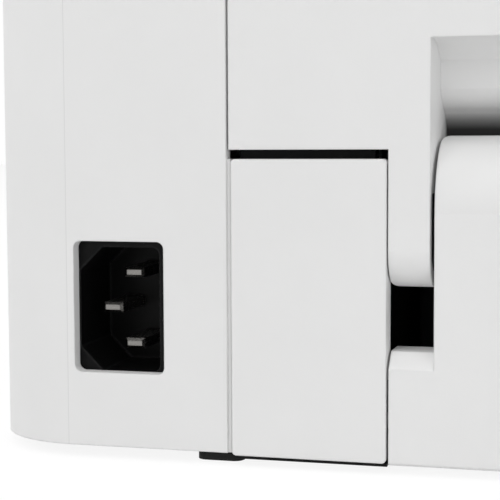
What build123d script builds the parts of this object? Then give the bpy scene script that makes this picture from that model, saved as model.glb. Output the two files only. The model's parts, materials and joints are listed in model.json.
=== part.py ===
from build123d import *
import math
import os

# A compact laser printer for cut sheets, seen in the photograph from behind, low at one corner.
# Millimetres. X runs across the printer, Y from its front to its rear and Z up. The origin is
# on the surface that the feet stand on, under the middle of the casing.

# Casing
WIDTH = 380.0
DEPTH = 372.0
HEIGHT = 218.0
CORNER_R = 20.0
WALL = 2.8
SEAM = 0.45
COVER_BOTTOM = 2.5
TOP_COVER_HEIGHT = 28.5
COVER_TOP = HEIGHT - TOP_COVER_HEIGHT
SIDE_X = WIDTH / 2
REAR_Y = DEPTH / 2
FRONT_Y = -DEPTH / 2
PATH_X = -12.0

# Base frame and feet
FOOT_HEIGHT = 1.4
FOOT_WIDTH = 9.2
FOOT_LENGTH = 16.0
FOOT_R = 2.0
FOOT_FROM_SIDE = 49.2
FOOT_INSET = 4.0
BASE_INSET = 6.5
FLOOR = 2.4
FLOOR_LIP = 0.6
FLOOR_LIP_INSET = 0.6
FLOOR_LIP_END = 0.3
FLOOR_LIP_LAP = 3.0
SIDE_SPACE = 67.6
RAIL_HALF = SIDE_X - SIDE_SPACE
RAIL_WALL = 3.0
RAIL_TOP = 60.0
RAIL_FROM_FRONT = 21.0
RAIL_FRONT = FRONT_Y + RAIL_FROM_FRONT
RAIL_FROM_REAR = 36.0
RAIL_REAR = REAR_Y - RAIL_FROM_REAR
LEDGE_WIDTH = 8.0
LEDGE_TOP = 9.0
BACKING_WALL = 3.0
BACKING_OVERLAP = 2.0
BRACKET_BACK_GAP = 0.5
BRACKET_PIN_RISE = 5.0

# Rear of the casing, measured from the photograph
RIGHT_WRAP = 52.1
LEFT_WRAP = 30.0
PANEL_SEAM = 0.85
PANEL_WIDTH = 29.5
PANEL_BOTTOM = 2.1
PANEL_TOP = 58.3
PANEL_WALL = 1.8
PANEL_RIM = 5.0
PANEL_CORNER_R = 0.8
PANEL_PIN_RELIEF = 8.0
SEAM_LIP = 0.65
SEAM_LIP_DEPTH = 0.6
SHADOW_GAP = 1.75
STRIP_GAP = 0.3
STRIP_WIDTH = 7.65
STRIP_BOTTOM = 34.45
STRIP_CURL = 7.0
STRIP_CORNER_R = 1.6
TONGUE_REACH = 4.0
TONGUE_WALL = 1.4
TONGUE_END = 6.0
BACKING_GAP = 0.3

# Rear door and the grip over it
DOOR_GAP = 0.8
DOOR_BOTTOM = 1.8
DOOR_TOP = 62.5
DOOR_WALL = 2.6
DOOR_LIP_R = 14.0
DOOR_CORNER_R = 1.2
DOOR_FOOT_EDGE = 0.4
DOOR_FLANGE = 8.0
DOOR_PIN_DEPTH = 4.8
DOOR_PIN_RISE = 7.6
DOOR_EAR_WIDTH = 8.3
DOOR_EAR_TOP = 19.7
DOOR_EAR_DEPTH = 10.0
DOOR_EAR_BEVEL = 3.0
DOOR_PIN_R = 1.5
DOOR_PIN_LENGTH = 5.6
DOOR_BAY = 16.0
PIN_CLEARANCE = 0.1
CHEEK_STEP = 1.0
GRIP_TOP = 80.1
GRIP_SOFFIT_DEPTH = 5.4
GRIP_SOFFIT = 79.5
GRIP_CORNER = 76.5
GRIP_DEPTH = 10.9
GRIP_RIDGE = 71.2
GRIP_NOSE_DEPTH = 12.9
GRIP_NOSE = 68.9
GRIP_STEP_DEPTH = 15.8
GRIP_STEP = 67.3
GRIP_BEND_DEPTH = 19.2
GRIP_BEND = 64.6
GRIP_POCKET = 21.5
GRIP_POCKET_Z = 60.5
GRIP_SKIRT = 52.0
GRIP_SHELL = 2.2
GRIP_DRAFT = 1.5

# Paper guide inside the rear door
GUIDE_INSET = 22.4
GUIDE_HALF = RAIL_HALF - GUIDE_INSET
GUIDE_PLATE = 2.0
GUIDE_BOTTOM = 12.0
GUIDE_TOP = 48.0
GUIDE_TURN_R = 24.0
GUIDE_REACH = 31.0
GUIDE_RIBS = 9
GUIDE_RIB_WALL = 2.0
GUIDE_SIDE_RIM = 3.0

# Power inlet, a standard size
INLET_HOLE_WIDTH = 18.35
INLET_HOLE_HEIGHT = 25.55
INLET_HOLE_FROM_SIDE = 30.35
INLET_HOLE_Z = 29.75
INLET_HOLE_R = 1.4
INLET_FROM_SIDE = 29.6
INLET_Z = 29.1
INLET_WIDTH = 19.0
INLET_HEIGHT = 30.0
INLET_DEPTH = 20.0
INLET_BODY_R = 2.0
INLET_CAVITY_WIDTH = 16.3
INLET_CAVITY_HEIGHT = 24.2
INLET_CAVITY_DEPTH = 16.0
INLET_CHAMFER = 4.6
INLET_SMALL_R = 1.5
PIN_SPACING = 14.0
LINE_PIN_OFFSET = 2.0
EARTH_PIN_OFFSET = 2.5
PIN_WIDTH = 4.0
PIN_THICKNESS = 2.0
PIN_LENGTH = 13.2
PIN_TAIL = 5.0
PIN_TIP = 0.5

# Front cover and the front of the cassette
FRONT_FROM_SIDE = 40.0
FRONT_HALF = SIDE_X - FRONT_FROM_SIDE
FRONT_SEAM = 0.5
FRONT_COVER_SINK = 0.5
FRONT_COVER_TOP = COVER_TOP - FRONT_COVER_SINK
FRONT_BARREL_R = 8.0
FRONT_HINGE_Z = 72.0
FRONT_PIN_R = 2.5
FRONT_PIN_LENGTH = 5.0
FRONT_POST_WALL = 5.0
FRONT_POST_DEPTH = 11.0
FRONT_COVER_SIDE = 12.0
FRONT_COVER_RIM = 4.0
LINER_INSET = 30.0
LINER_MARGIN = 14.0
LINER_WALL = 2.0
LINER_SPACE = 6.0
LINER_RIBS = 6
CASSETTE_FRONT_BOTTOM = 5.0
CASSETTE_FRONT_TOP = 62.0
CASSETTE_FRONT_WALL = 3.0
CASSETTE_FRONT_R = 2.0
HANDLE_WIDTH = 90.0
HANDLE_HEIGHT = 17.0
HANDLE_DEPTH = 10.5
HANDLE_RISE = 9.0
HANDLE_WALL = 2.0
HANDLE_R = 5.0

# Cassette with its guides and lift plate
TRAY_SIDE_GAP = 0.8
TRAY_HALF = RAIL_HALF - TRAY_SIDE_GAP
TRAY_BOTTOM = 9.3
TRAY_TOP = 55.0
TRAY_FROM_REAR = 54.0
TRAY_REAR = REAR_Y - TRAY_FROM_REAR
TRAY_WALL = 2.5
TRAY_CORNER_R = 4.0
SHEET_INSET = 14.4
SHEET_WIDTH = 2 * (RAIL_HALF - SHEET_INSET)
SHEET_SPARE = 75.0
SHEET_LENGTH = DEPTH - SHEET_SPARE
SHEET_FROM_FRONT = 14.0
SHEET_FRONT = FRONT_Y + SHEET_FROM_FRONT
GUIDE_TRAVEL = 50.0
GUIDE_HEIGHT = 36.0
SIDE_GUIDE_WALL = 2.0
SIDE_GUIDE_LENGTH = 66.0
GUIDE_FOOT = 8.0
RUNNING_GAP = 0.3
RACK_HEIGHT = 3.0
RACK_BACK = 3.0
LIFT_INSET = 10.0
LIFT_HALF = SHEET_WIDTH / 2 - LIFT_INSET
LIFT_FROM_FRONT = 15.0
LIFT_FRONT = FRONT_Y + LIFT_FROM_FRONT
LIFT_TO_RACK = 44.0
LIFT_WALL = 1.2
LIFT_Z = 16.5
LIFT_LIP = 4.0
LIFT_SLOT_LENGTH = 60.0
LIFT_SLOT_WIDTH = 14.0
LIFT_SLOT_SPREAD = 120.0
LIFT_PIN_R = 1.2
LIFT_PIN_LENGTH = 3.0
LIFT_EAR = 3.0
RACK_TO_SLOT = 30.0
LENGTH_GUIDE_HALF = 20.0
LENGTH_GUIDE_WALL = 2.5
LENGTH_GUIDE_FOOT = 16.0
LENGTH_TRAVEL = 87.0
LENGTH_SLOT_HALF = 5.0
GUIDE_BOSS_R = 3.0
RACK_OVERRUN = 6.0
RACK_TEETH = 20
RACK_LEAD = 1
PAD_DROP = 16.0
PAD_REACH = 9.0
PAD_TOE = 3.0

# Gears
MODULE = 1.0
PINION_TEETH = 16
IDLER_TEETH = 72
DRIVEN_TEETH = 40
GUIDE_PINION_TEETH = 20
ADDENDUM = 0.8
DEDENDUM = 1.15
TOOTH_ROOT_SHARE = 0.60
TOOTH_TIP_SHARE = 0.20
GEAR_WIDTH = 8.0

# Rollers of the paper path
NIP_GAP = 0.3
ROLLER_END_GAP = 1.0
SHAFT_R = 3.0
SHAFT_CLEARANCE = 0.08
ROLLER_INSET = 10.4
ROLLER_HALF = RAIL_HALF - ROLLER_INSET
PICKUP_FROM_FRONT = 36.0
PICKUP_Y = FRONT_Y + PICKUP_FROM_FRONT
PICKUP_Z = 68.0
PICKUP_R = 12.0
PICKUP_HALF = 22.0
REGISTRATION_FROM_FRONT = 76.0
REGISTRATION_Y = FRONT_Y + REGISTRATION_FROM_FRONT
REGISTRATION_Z = 70.0
REGISTRATION_R = 6.0
PRESSURE_FROM_REAR = 74.0
PRESSURE_Y = REAR_Y - PRESSURE_FROM_REAR
PRESSURE_Z = 70.0
PRESSURE_R = 12.0
HEAT_R = 12.5
DRUM_TO_PRESSURE = 102.0
DRUM_Y = PRESSURE_Y - DRUM_TO_PRESSURE
DRUM_Z = 88.0
DRUM_R = 12.0
DRUM_HALF = ROLLER_HALF
TRANSFER_R = 7.0
EXIT_TO_PRESSURE = 9.0
EXIT_Y = PRESSURE_Y - EXIT_TO_PRESSURE
EXIT_FROM_TOP = 27.0
EXIT_Z = HEIGHT - EXIT_FROM_TOP
EXIT_R = 7.0
EXIT_RINGS = 4
EXIT_RING_HALF = 6.0
EXIT_RING_PITCH = ROLLER_HALF / 2.24

# Fuser frame and the guide behind it
FUSER_END_GAP = 0.2
HOOD_GAP = 3.0
HOOD_WALL = 2.0
HOOD_START = 20
HOOD_SWEEP = 140
FUSER_CHEEK_LENGTH = 38.0
FUSER_CHEEK_R = 4.0
PAPER_GUIDE_WALL = 2.0
PAPER_GUIDE_GAP = 3.0
PAPER_GUIDE_R = 24.0
PAPER_GUIDE_BEND = 80
PAPER_GUIDE_RISE = 26.0
PAPER_GUIDE_DROP = 14.0

# Side frames and drive
FRAME_WALL = 1.2
FRAME_FROM_FRONT = 36.0
FRAME_FRONT = FRONT_Y + FRAME_FROM_FRONT
FRAME_FROM_REAR = 36.0
FRAME_REAR = REAR_Y - FRAME_FROM_REAR
FRAME_FROM_TOP = 42.0
FRAME_TOP = HEIGHT - FRAME_FROM_TOP
FRAME_STEP = 8.0
FRAME_NOSE_Z = 88.0
FRAME_BEND = 70.0
FRAME_FOOT_END = 40.0
FRAME_HORN = 26.0
FRAME_HORN_FRONT = 9.0
FRAME_HORN_REAR = 22.0
FRAME_FOOT = 12.0
WINDOW_LENGTH = 44.0
WINDOW_HEIGHT = 26.0
WINDOW_R = 6.0
WINDOW_BEFORE = 80.0
WINDOW_RISE = 20.0
GEAR_GAP = 2.0
SHAFT_END = 1.0
BRACKET_STANDOFF = 16.0
BRACKET_LENGTH = 90.0
BRACKET_HEIGHT = 110.0
BRACKET_R = 8.0
BRACKET_RISE = 5.0
MOTOR_R = 20.0
MOTOR_FLANGE = 4.0
MOTOR_FLANGE_WALL = 3.0
MOTOR_LENGTH = 26.0
MOTOR_SHAFT_R = 2.0
MOTOR_HOLE_GAP = 3.0
STUD_R = 3.0
STUD_SPREAD = 38.0
STUD_UPPER = 54.0
STUD_LOWER = 43.0

# Top cover with the output tray
COVER_ROOF = 3.0
ROOF_FILLET = 8.0
OUTPUT_SIDE_SPARE = 10.0
OUTPUT_HALF = SHEET_WIDTH / 2 + OUTPUT_SIDE_SPARE
OUTPUT_TO_EXIT = 11.0
OUTPUT_REAR = EXIT_Y - OUTPUT_TO_EXIT
OUTPUT_FROM_FRONT = 28.0
OUTPUT_FRONT = FRONT_Y + OUTPUT_FROM_FRONT
OUTPUT_LOW_SINK = 34.0
OUTPUT_LOW = HEIGHT - OUTPUT_LOW_SINK
OUTPUT_HIGH_SINK = 6.0
OUTPUT_HIGH = HEIGHT - OUTPUT_HIGH_SINK
OUTPUT_LEAD = 8.0
OUTPUT_WALL = 2.4
EXIT_SLOT_INSET = 2.0
EXIT_SLOT_HALF = ROLLER_HALF - EXIT_SLOT_INSET
EXIT_SLOT_BOTTOM_SINK = 29.0
EXIT_SLOT_BOTTOM = HEIGHT - EXIT_SLOT_BOTTOM_SINK
EXIT_SLOT_TOP_SINK = 11.0
EXIT_SLOT_TOP = HEIGHT - EXIT_SLOT_TOP_SINK

# Control panel
PANEL_PLATE_FROM_SIDE = 39.0
PANEL_PLATE_X = SIDE_X - PANEL_PLATE_FROM_SIDE
PANEL_PLATE_FROM_FRONT = 68.0
PANEL_PLATE_Y = FRONT_Y + PANEL_PLATE_FROM_FRONT
PANEL_PLATE_WIDTH = 50.0
PANEL_PLATE_LENGTH = 96.0
PANEL_PLATE_WALL = 2.0
PANEL_PLATE_SINK = 0.6
PANEL_PLATE_R = 6.0
PANEL_PLATE_LEDGE = 3.0
BUTTON_R = 7.0
BUTTON_PITCH = 28.0
BUTTON_GAP = 0.35
BUTTON_PROUD = 0.4
BUTTON_LENGTH = 4.5
BUTTON_RIM = 1.4
BUTTON_RIM_WALL = 1.2
BUTTON_DISH = 0.4
BUTTON_EDGE = 0.5
POWER_DISH_R = 4.5
OTHER_DISH_R = 4.0
LIGHT_R = 1.6
LIGHT_OFFSET = 15.0
LIGHT_BAR = 1.6

# Flip-up output stopper
STOPPER_HALF = 25.0
STOPPER_LENGTH = 48.0
STOPPER_WALL = 1.6
STOPPER_R = 1.0
STOPPER_TO_TRAY_END = 20.0
STOPPER_Y = OUTPUT_FRONT + STOPPER_TO_TRAY_END
STOPPER_GAP = 0.5
STOPPER_PIN_R = 1.2
STOPPER_PIN_DROP = 2.6
STOPPER_LUG = 4.0

# Laser scanner
STAY_FROM_TOP = 77.0
STAY_Z = HEIGHT - STAY_FROM_TOP
STAY_MARGIN = 6.0
STAY_FLANGE = 8.0
BEAM_OFFSET = 18.0
BEAM_HALF = 2.0
BEAM_MARGIN = 14.0
SCANNER_INSET = 17.4
SCANNER_HALF = RAIL_HALF - SCANNER_INSET
SCANNER_AHEAD = 40.0
SCANNER_FRONT = DRUM_Y - SCANNER_AHEAD
SCANNER_BEHIND = 70.0
SCANNER_REAR = DRUM_Y + SCANNER_BEHIND
SCANNER_HEIGHT = 27.8
SCANNER_WALL = 2.5
SCANNER_R = 8.0
SCANNER_LID = 2.0
POLYGON_R = 14.0
POLYGON_WALL = 3.0
POLYGON_BEHIND = 40.0
POLYGON_Y = DRUM_Y + POLYGON_BEHIND
POLYGON_SHAFT_R = 1.5
POLYGON_BOSS_R = 9.0
POLYGON_BOSS = 8.0
LENS_HALF = 70.0
LENS_GAP = 14.0
LENS_BOW = 5.0
LENS_WALL = 10.0
LENS_HEIGHT = 14.0

# Toner cartridge
CARTRIDGE_INSET = 4.4
CARTRIDGE_HALF = RAIL_HALF - CARTRIDGE_INSET
CARTRIDGE_AHEAD = 140.0
CARTRIDGE_FRONT = DRUM_Y - CARTRIDGE_AHEAD
CARTRIDGE_BOTTOM = 86.0
CARTRIDGE_TO_STAY = 7.0
CARTRIDGE_TOP = STAY_Z - CARTRIDGE_TO_STAY
CARTRIDGE_BEHIND = 24.0
CARTRIDGE_REAR = DRUM_Y + CARTRIDGE_BEHIND
CARTRIDGE_SADDLE = 14.5
CARTRIDGE_SKIRT = 4.0
CARTRIDGE_NECK = 30.0
CARTRIDGE_BEVEL = 6.0
CARTRIDGE_SLOPE = (CARTRIDGE_TOP - CARTRIDGE_BOTTOM) / 3
CARTRIDGE_CHEEK = 15.0

# Boards and ports
BOARD_WALL = 1.6
CONTROLLER_FROM_SIDE = 38.0
CONTROLLER_X = -SIDE_X + CONTROLLER_FROM_SIDE
CONTROLLER_FROM_REAR = 196.0
CONTROLLER_FRONT = REAR_Y - CONTROLLER_FROM_REAR
CONTROLLER_BOTTOM = 70.0
CONTROLLER_TOP = 160.0
CONTROLLER_GAP = 1.2
CONTROLLER_LEG_INSET = 10.0
CHIP = 26.0
CHIP_WALL = 2.4
MEMORY_LENGTH = 18.0
MEMORY_HEIGHT = 12.0
MEMORY_WALL = 1.6
LEG_R = 2.5
USB_WIDTH = 12.0
USB_HEIGHT = 11.0
USB_DEPTH = 16.0
USB_Z = 128.0
NETWORK_WIDTH = 16.0
NETWORK_HEIGHT = 13.6
NETWORK_DEPTH = 21.0
NETWORK_Z = 104.0
PORT_CLEARANCE = 0.6
PORT_HOLE_R = 0.8
SOCKET_WALL = 1.0
SOCKET_R = 0.6
SUPPLY_FROM_FRONT = 66.0
SUPPLY_FRONT = FRONT_Y + SUPPLY_FROM_FRONT
SUPPLY_INNER_GAP = 14.0
SUPPLY_OUTER_GAP = 4.0
SUPPLY_RISE = 6.0
SUPPLY_LEG_INSET = 4.0
TRANSFORMER = 32.0
TRANSFORMER_HEIGHT = 28.0
CAPACITOR_R = 9.0
CAPACITOR_HEIGHT = 30.0
CAPACITOR_GAP = 2.0
HEAT_SINK_WALL = 4.0
HEAT_SINK_LENGTH = 50.0
HEAT_SINK_HEIGHT = 24.0

# Cooling fan
FAN_SIZE = 60.0
FAN_DEPTH = 15.0
FAN_FROM_FRONT = 106.0
FAN_Y = FRONT_Y + FAN_FROM_FRONT
FAN_Z = 120.0
FAN_BORE = 28.0
FAN_TIP_R = 27.2
FAN_HUB_R = 12.0
FAN_SHAFT_R = 1.5
FAN_BLADES = 7
FAN_BLADE_WALL = 1.4
FAN_BLADE_TILT = 35.0
FAN_SLOTS = 9
FAN_SLOT = 3.0
FAN_SLOT_MARGIN = 6.0
FAN_SPOKE = 3.0
FAN_SPOKE_WALL = 2.0
FAN_FRAME_R = 4.0
FAN_RECESS = 1.5

# Worked-out places
BASE_TOP = FOOT_HEIGHT + FLOOR
RIGHT_EDGE = SIDE_X - RIGHT_WRAP
LEFT_EDGE = -SIDE_X + LEFT_WRAP
PANEL_RIGHT = RIGHT_EDGE - PANEL_SEAM
PANEL_LEFT = PANEL_RIGHT - PANEL_WIDTH
STRIP_RIGHT = PANEL_LEFT - STRIP_GAP
STRIP_LEFT = STRIP_RIGHT - STRIP_WIDTH
BAY_HALF = STRIP_LEFT - PATH_X
DOOR_HALF = BAY_HALF - DOOR_GAP
EAR_HALF = DOOR_HALF + DOOR_EAR_WIDTH
STRIP_HALF = STRIP_RIGHT - PATH_X
UPPER_BOTTOM = PANEL_TOP + SHADOW_GAP
DOOR_HINGE_Y = REAR_Y - DOOR_PIN_DEPTH
DOOR_HINGE_Z = DOOR_BOTTOM + DOOR_PIN_RISE
FRONT_HINGE_Y = FRONT_Y + FRONT_BARREL_R
INLET_X = SIDE_X - INLET_FROM_SIDE
INLET_FACE = REAR_Y - WALL
RIGHT_FRAME_X = PATH_X + RAIL_HALF + RAIL_WALL
LEFT_FRAME_X = PATH_X - RAIL_HALF - RAIL_WALL
TRAY_FLOOR = TRAY_BOTTOM + TRAY_WALL
LENGTH_FACE = SHEET_FRONT + SHEET_LENGTH
LENGTH_SLOT_FRONT = LENGTH_FACE - LENGTH_TRAVEL - LENGTH_GUIDE_FOOT
RACK_Y = LENGTH_SLOT_FRONT - RACK_TO_SLOT
LIFT_REAR = RACK_Y - LIFT_TO_RACK
RACK_Z = TRAY_FLOOR + RUNNING_GAP
TRANSFER_Z = DRUM_Z - DRUM_R - TRANSFER_R - NIP_GAP
HEAT_Z = PRESSURE_Z + PRESSURE_R + HEAT_R + NIP_GAP
GEAR_X = RIGHT_FRAME_X + FRAME_WALL + GEAR_GAP
BRACKET_X = RIGHT_FRAME_X + FRAME_WALL + BRACKET_STANDOFF
PANEL_PLATE_TOP = HEIGHT - PANEL_PLATE_SINK
SCANNER_BOTTOM = STAY_Z + FRAME_WALL
SCANNER_TOP = SCANNER_BOTTOM + SCANNER_HEIGHT
SCANNER_FLOOR = SCANNER_BOTTOM + SCANNER_WALL
BEAM_Y = DRUM_Y - BEAM_OFFSET
FUSER_HALF = RAIL_HALF + RAIL_WALL - FUSER_END_GAP


def block(x_limits, y_limits, z_limits, mode=Mode.ADD):
    """Box between two limits on each axis, joined to the part being built."""
    centre = [(low + high) / 2 for low, high in (x_limits, y_limits, z_limits)]
    size = [high - low for low, high in (x_limits, y_limits, z_limits)]
    with Locations(tuple(centre)):
        Box(*size, mode=mode)


def about(middle, half):
    """The two limits that lie half to either side of the middle."""
    return (middle - half, middle + half)


def turned(steps, y, z, mode=Mode.ADD):
    """Round bar along X, in steps of a start, an end and a radius."""
    for start, end, radius in steps:
        with Locations(((start + end) / 2, y, z)):
            Cylinder(radius, end - start, rotation=(0, 90, 0), mode=mode)


def casing_ring(bottom):
    """Plan of the casing's wall, all the way round."""
    with BuildSketch(Plane.XY.offset(bottom)) as ring:
        RectangleRounded(WIDTH, DEPTH, CORNER_R)
        RectangleRounded(WIDTH - 2 * WALL, DEPTH - 2 * WALL, CORNER_R - WALL, mode=Mode.SUBTRACT)
    return ring.sketch


def gear_outline(plane, teeth, phase, bore):
    """Gear with straight-flanked teeth, one of them at the phase angle."""
    pitch_r = MODULE * teeth / 2
    root_r = pitch_r - DEDENDUM * MODULE
    tip_r = pitch_r + ADDENDUM * MODULE
    root_half = TOOTH_ROOT_SHARE * math.pi * MODULE / 2
    tip_half = TOOTH_TIP_SHARE * math.pi * MODULE / 2
    with BuildSketch(plane) as outline:
        Circle(root_r)
        with PolarLocations(0, teeth, start_angle=phase):
            Polygon((root_r - MODULE / 2, -root_half), (tip_r, -tip_half), (tip_r, tip_half),
                    (root_r - MODULE / 2, root_half), align=None)
        Circle(bore, mode=Mode.SUBTRACT)
    return outline.sketch


def meshing_phase(driver_teeth, driver_phase, teeth, direction):
    """Phase of a gear whose centre lies in the direction from the gear that it meshes with."""
    step = 360 / driver_teeth
    behind = (direction - driver_phase) % step
    return direction + 180 + behind * driver_teeth / teeth + 180 / teeth


def centre_distance(teeth_a, teeth_b):
    """Distance between the centres of two gears in mesh."""
    return MODULE * (teeth_a + teeth_b) / 2


# Places of the drive gears in the plane of Y and Z
idler_reach = centre_distance(IDLER_TEETH, DRIVEN_TEETH)
axis_gap = math.hypot(PRESSURE_Y - DRUM_Y, HEAT_Z - DRUM_Z)
rise = math.sqrt(idler_reach ** 2 - (axis_gap / 2) ** 2)
IDLER_Y = (DRUM_Y + PRESSURE_Y) / 2 + rise * (DRUM_Z - HEAT_Z) / axis_gap
IDLER_Z = (DRUM_Z + HEAT_Z) / 2 + rise * (PRESSURE_Y - DRUM_Y) / axis_gap
PINION_Y = IDLER_Y
PINION_Z = IDLER_Z + centre_distance(IDLER_TEETH, PINION_TEETH)
DRUM_DIRECTION = math.degrees(math.atan2(DRUM_Z - IDLER_Z, DRUM_Y - IDLER_Y))
FUSER_DIRECTION = math.degrees(math.atan2(HEAT_Z - IDLER_Z, PRESSURE_Y - IDLER_Y))
DRUM_PHASE = meshing_phase(IDLER_TEETH, 0, DRIVEN_TEETH, DRUM_DIRECTION)
FUSER_PHASE = meshing_phase(IDLER_TEETH, 0, DRIVEN_TEETH, FUSER_DIRECTION)
PINION_PHASE = meshing_phase(IDLER_TEETH, 0, PINION_TEETH, 90)

# Places of the four feet, the same distance from both sides and from the front and the rear
foot_x = SIDE_X - FOOT_FROM_SIDE
foot_y = REAR_Y - FOOT_INSET - FOOT_LENGTH / 2
foot_places = [(foot_x, foot_y), (-foot_x, foot_y), (foot_x, -foot_y), (-foot_x, -foot_y)]

# Base frame: floor, cassette rails, hinge brackets and the wall behind the service panel
with BuildPart() as base_frame:
    with BuildSketch(Plane.XY.offset(FOOT_HEIGHT)):
        RectangleRounded(WIDTH - 2 * BASE_INSET, DEPTH - 2 * BASE_INSET, CORNER_R - BASE_INSET)
        with Locations(*foot_places):
            RectangleRounded(FOOT_WIDTH, FOOT_LENGTH, FOOT_R)
        with Locations(((PANEL_LEFT + PANEL_RIGHT) / 2, REAR_Y)):
            Rectangle(PANEL_WIDTH + 2 * SEAM, 2 * (PANEL_RIM + SEAM), mode=Mode.SUBTRACT)
        with Locations((PATH_X, REAR_Y)):
            Rectangle(2 * (EAR_HALF + DOOR_GAP), 2 * DOOR_BAY, mode=Mode.SUBTRACT)
    extrude(amount=FLOOR)
    block((PATH_X + EAR_HALF + FLOOR_LIP_END, PANEL_RIGHT - SEAM),
          (REAR_Y - PANEL_RIM - FLOOR_LIP_LAP, REAR_Y - FLOOR_LIP_INSET), (FOOT_HEIGHT, FOOT_HEIGHT + FLOOR_LIP))
    for side in (-1, 1):
        rail_inner = PATH_X + side * RAIL_HALF
        rail_outer = rail_inner + side * RAIL_WALL
        ledge_inner = rail_inner - side * LEDGE_WIDTH
        block(sorted((rail_inner, rail_outer)), (RAIL_FRONT, RAIL_REAR), (BASE_TOP, RAIL_TOP))
        block(sorted((ledge_inner, rail_inner)), (RAIL_FRONT, RAIL_REAR), (BASE_TOP, LEDGE_TOP))
        block(sorted((rail_inner, rail_outer)), (RAIL_REAR, INLET_FACE - BACKING_GAP),
              (FOOT_HEIGHT, PANEL_TOP - PANEL_WALL - BRACKET_BACK_GAP))
        block(sorted((rail_inner, rail_outer)), (RAIL_REAR, REAR_Y - PANEL_WALL - BRACKET_BACK_GAP),
              (FOOT_HEIGHT, DOOR_HINGE_Z + BRACKET_PIN_RISE))
        post_inner = PATH_X + side * (FRONT_HALF + FRONT_SEAM)
        post_outer = post_inner + side * FRONT_POST_WALL
        post_rear = FRONT_HINGE_Y + FRONT_POST_DEPTH / 2
        block(sorted((post_inner, post_outer)), (FRONT_Y + WALL + BACKING_GAP, post_rear),
              (BASE_TOP, FRONT_HINGE_Z + FRONT_BARREL_R))
    block((PATH_X + RAIL_HALF, PANEL_RIGHT - SEAM), (REAR_Y - PANEL_RIM - BACKING_WALL, REAR_Y - PANEL_RIM),
          (BASE_TOP, UPPER_BOTTOM + BACKING_OVERLAP))
    block(about(INLET_X, INLET_WIDTH / 2), (INLET_FACE - INLET_DEPTH, REAR_Y - BASE_INSET),
          (BASE_TOP, INLET_Z - INLET_HEIGHT / 2))
    turned([(-SIDE_X, SIDE_X, DOOR_PIN_R + PIN_CLEARANCE)], DOOR_HINGE_Y, DOOR_HINGE_Z, Mode.SUBTRACT)
    turned([(-SIDE_X, SIDE_X, FRONT_PIN_R + PIN_CLEARANCE)], FRONT_HINGE_Y, FRONT_HINGE_Z, Mode.SUBTRACT)

# Rubber feet
with BuildPart() as rubber_feet:
    with BuildSketch():
        with Locations(*foot_places):
            RectangleRounded(FOOT_WIDTH, FOOT_LENGTH, FOOT_R)
    extrude(amount=FOOT_HEIGHT)

# Right side cover, with the hole for the power inlet
with BuildPart() as right_side_cover:
    extrude(casing_ring(COVER_BOTTOM), amount=COVER_TOP - COVER_BOTTOM)
    with BuildSketch(Plane.XY.offset(COVER_BOTTOM)):
        front_edge = PATH_X + FRONT_HALF + FRONT_SEAM
        with Locations(((RIGHT_EDGE + SIDE_X) / 2, DEPTH / 4)):
            Rectangle(SIDE_X - RIGHT_EDGE, DEPTH / 2)
        with Locations(((front_edge + SIDE_X) / 2, -DEPTH / 4)):
            Rectangle(SIDE_X - front_edge, DEPTH / 2)
    extrude(amount=COVER_TOP - COVER_BOTTOM, mode=Mode.INTERSECT)
    with BuildSketch(Plane.XZ.offset(-REAR_Y)):
        with Locations((SIDE_X - INLET_HOLE_FROM_SIDE, INLET_HOLE_Z)):
            RectangleRounded(INLET_HOLE_WIDTH, INLET_HOLE_HEIGHT, INLET_HOLE_R)
    extrude(amount=WALL, mode=Mode.SUBTRACT)
    tongue_limits = (UPPER_BOTTOM + TONGUE_END, COVER_TOP - TONGUE_END)
    block((RIGHT_EDGE, RIGHT_EDGE + TONGUE_REACH), (INLET_FACE - TONGUE_WALL - BACKING_GAP, INLET_FACE),
          tongue_limits)
    block((RIGHT_EDGE - TONGUE_REACH, RIGHT_EDGE),
          (INLET_FACE - TONGUE_WALL - BACKING_GAP, INLET_FACE - BACKING_GAP), tongue_limits)
    block((RIGHT_EDGE - SEAM_LIP, RIGHT_EDGE), (INLET_FACE, REAR_Y - SEAM_LIP_DEPTH), (COVER_BOTTOM, PANEL_TOP))

# Left side cover, with the fan's vent
with BuildPart() as left_side_cover:
    extrude(casing_ring(COVER_BOTTOM), amount=COVER_TOP - COVER_BOTTOM)
    with BuildSketch(Plane.XY.offset(COVER_BOTTOM)):
        front_edge = PATH_X - FRONT_HALF - FRONT_SEAM
        with Locations(((LEFT_EDGE - SIDE_X) / 2, DEPTH / 4)):
            Rectangle(SIDE_X + LEFT_EDGE, DEPTH / 2)
        with Locations(((front_edge - SIDE_X) / 2, -DEPTH / 4)):
            Rectangle(SIDE_X + front_edge, DEPTH / 2)
    extrude(amount=COVER_TOP - COVER_BOTTOM, mode=Mode.INTERSECT)
    with BuildSketch(Plane.YZ.offset(-SIDE_X)):
        with Locations((FAN_Y, FAN_Z)):
            with GridLocations(0, 2 * FAN_SLOT, 1, FAN_SLOTS):
                SlotOverall(FAN_SIZE - FAN_SLOT_MARGIN, FAN_SLOT)
    extrude(amount=WALL, mode=Mode.SUBTRACT)


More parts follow.
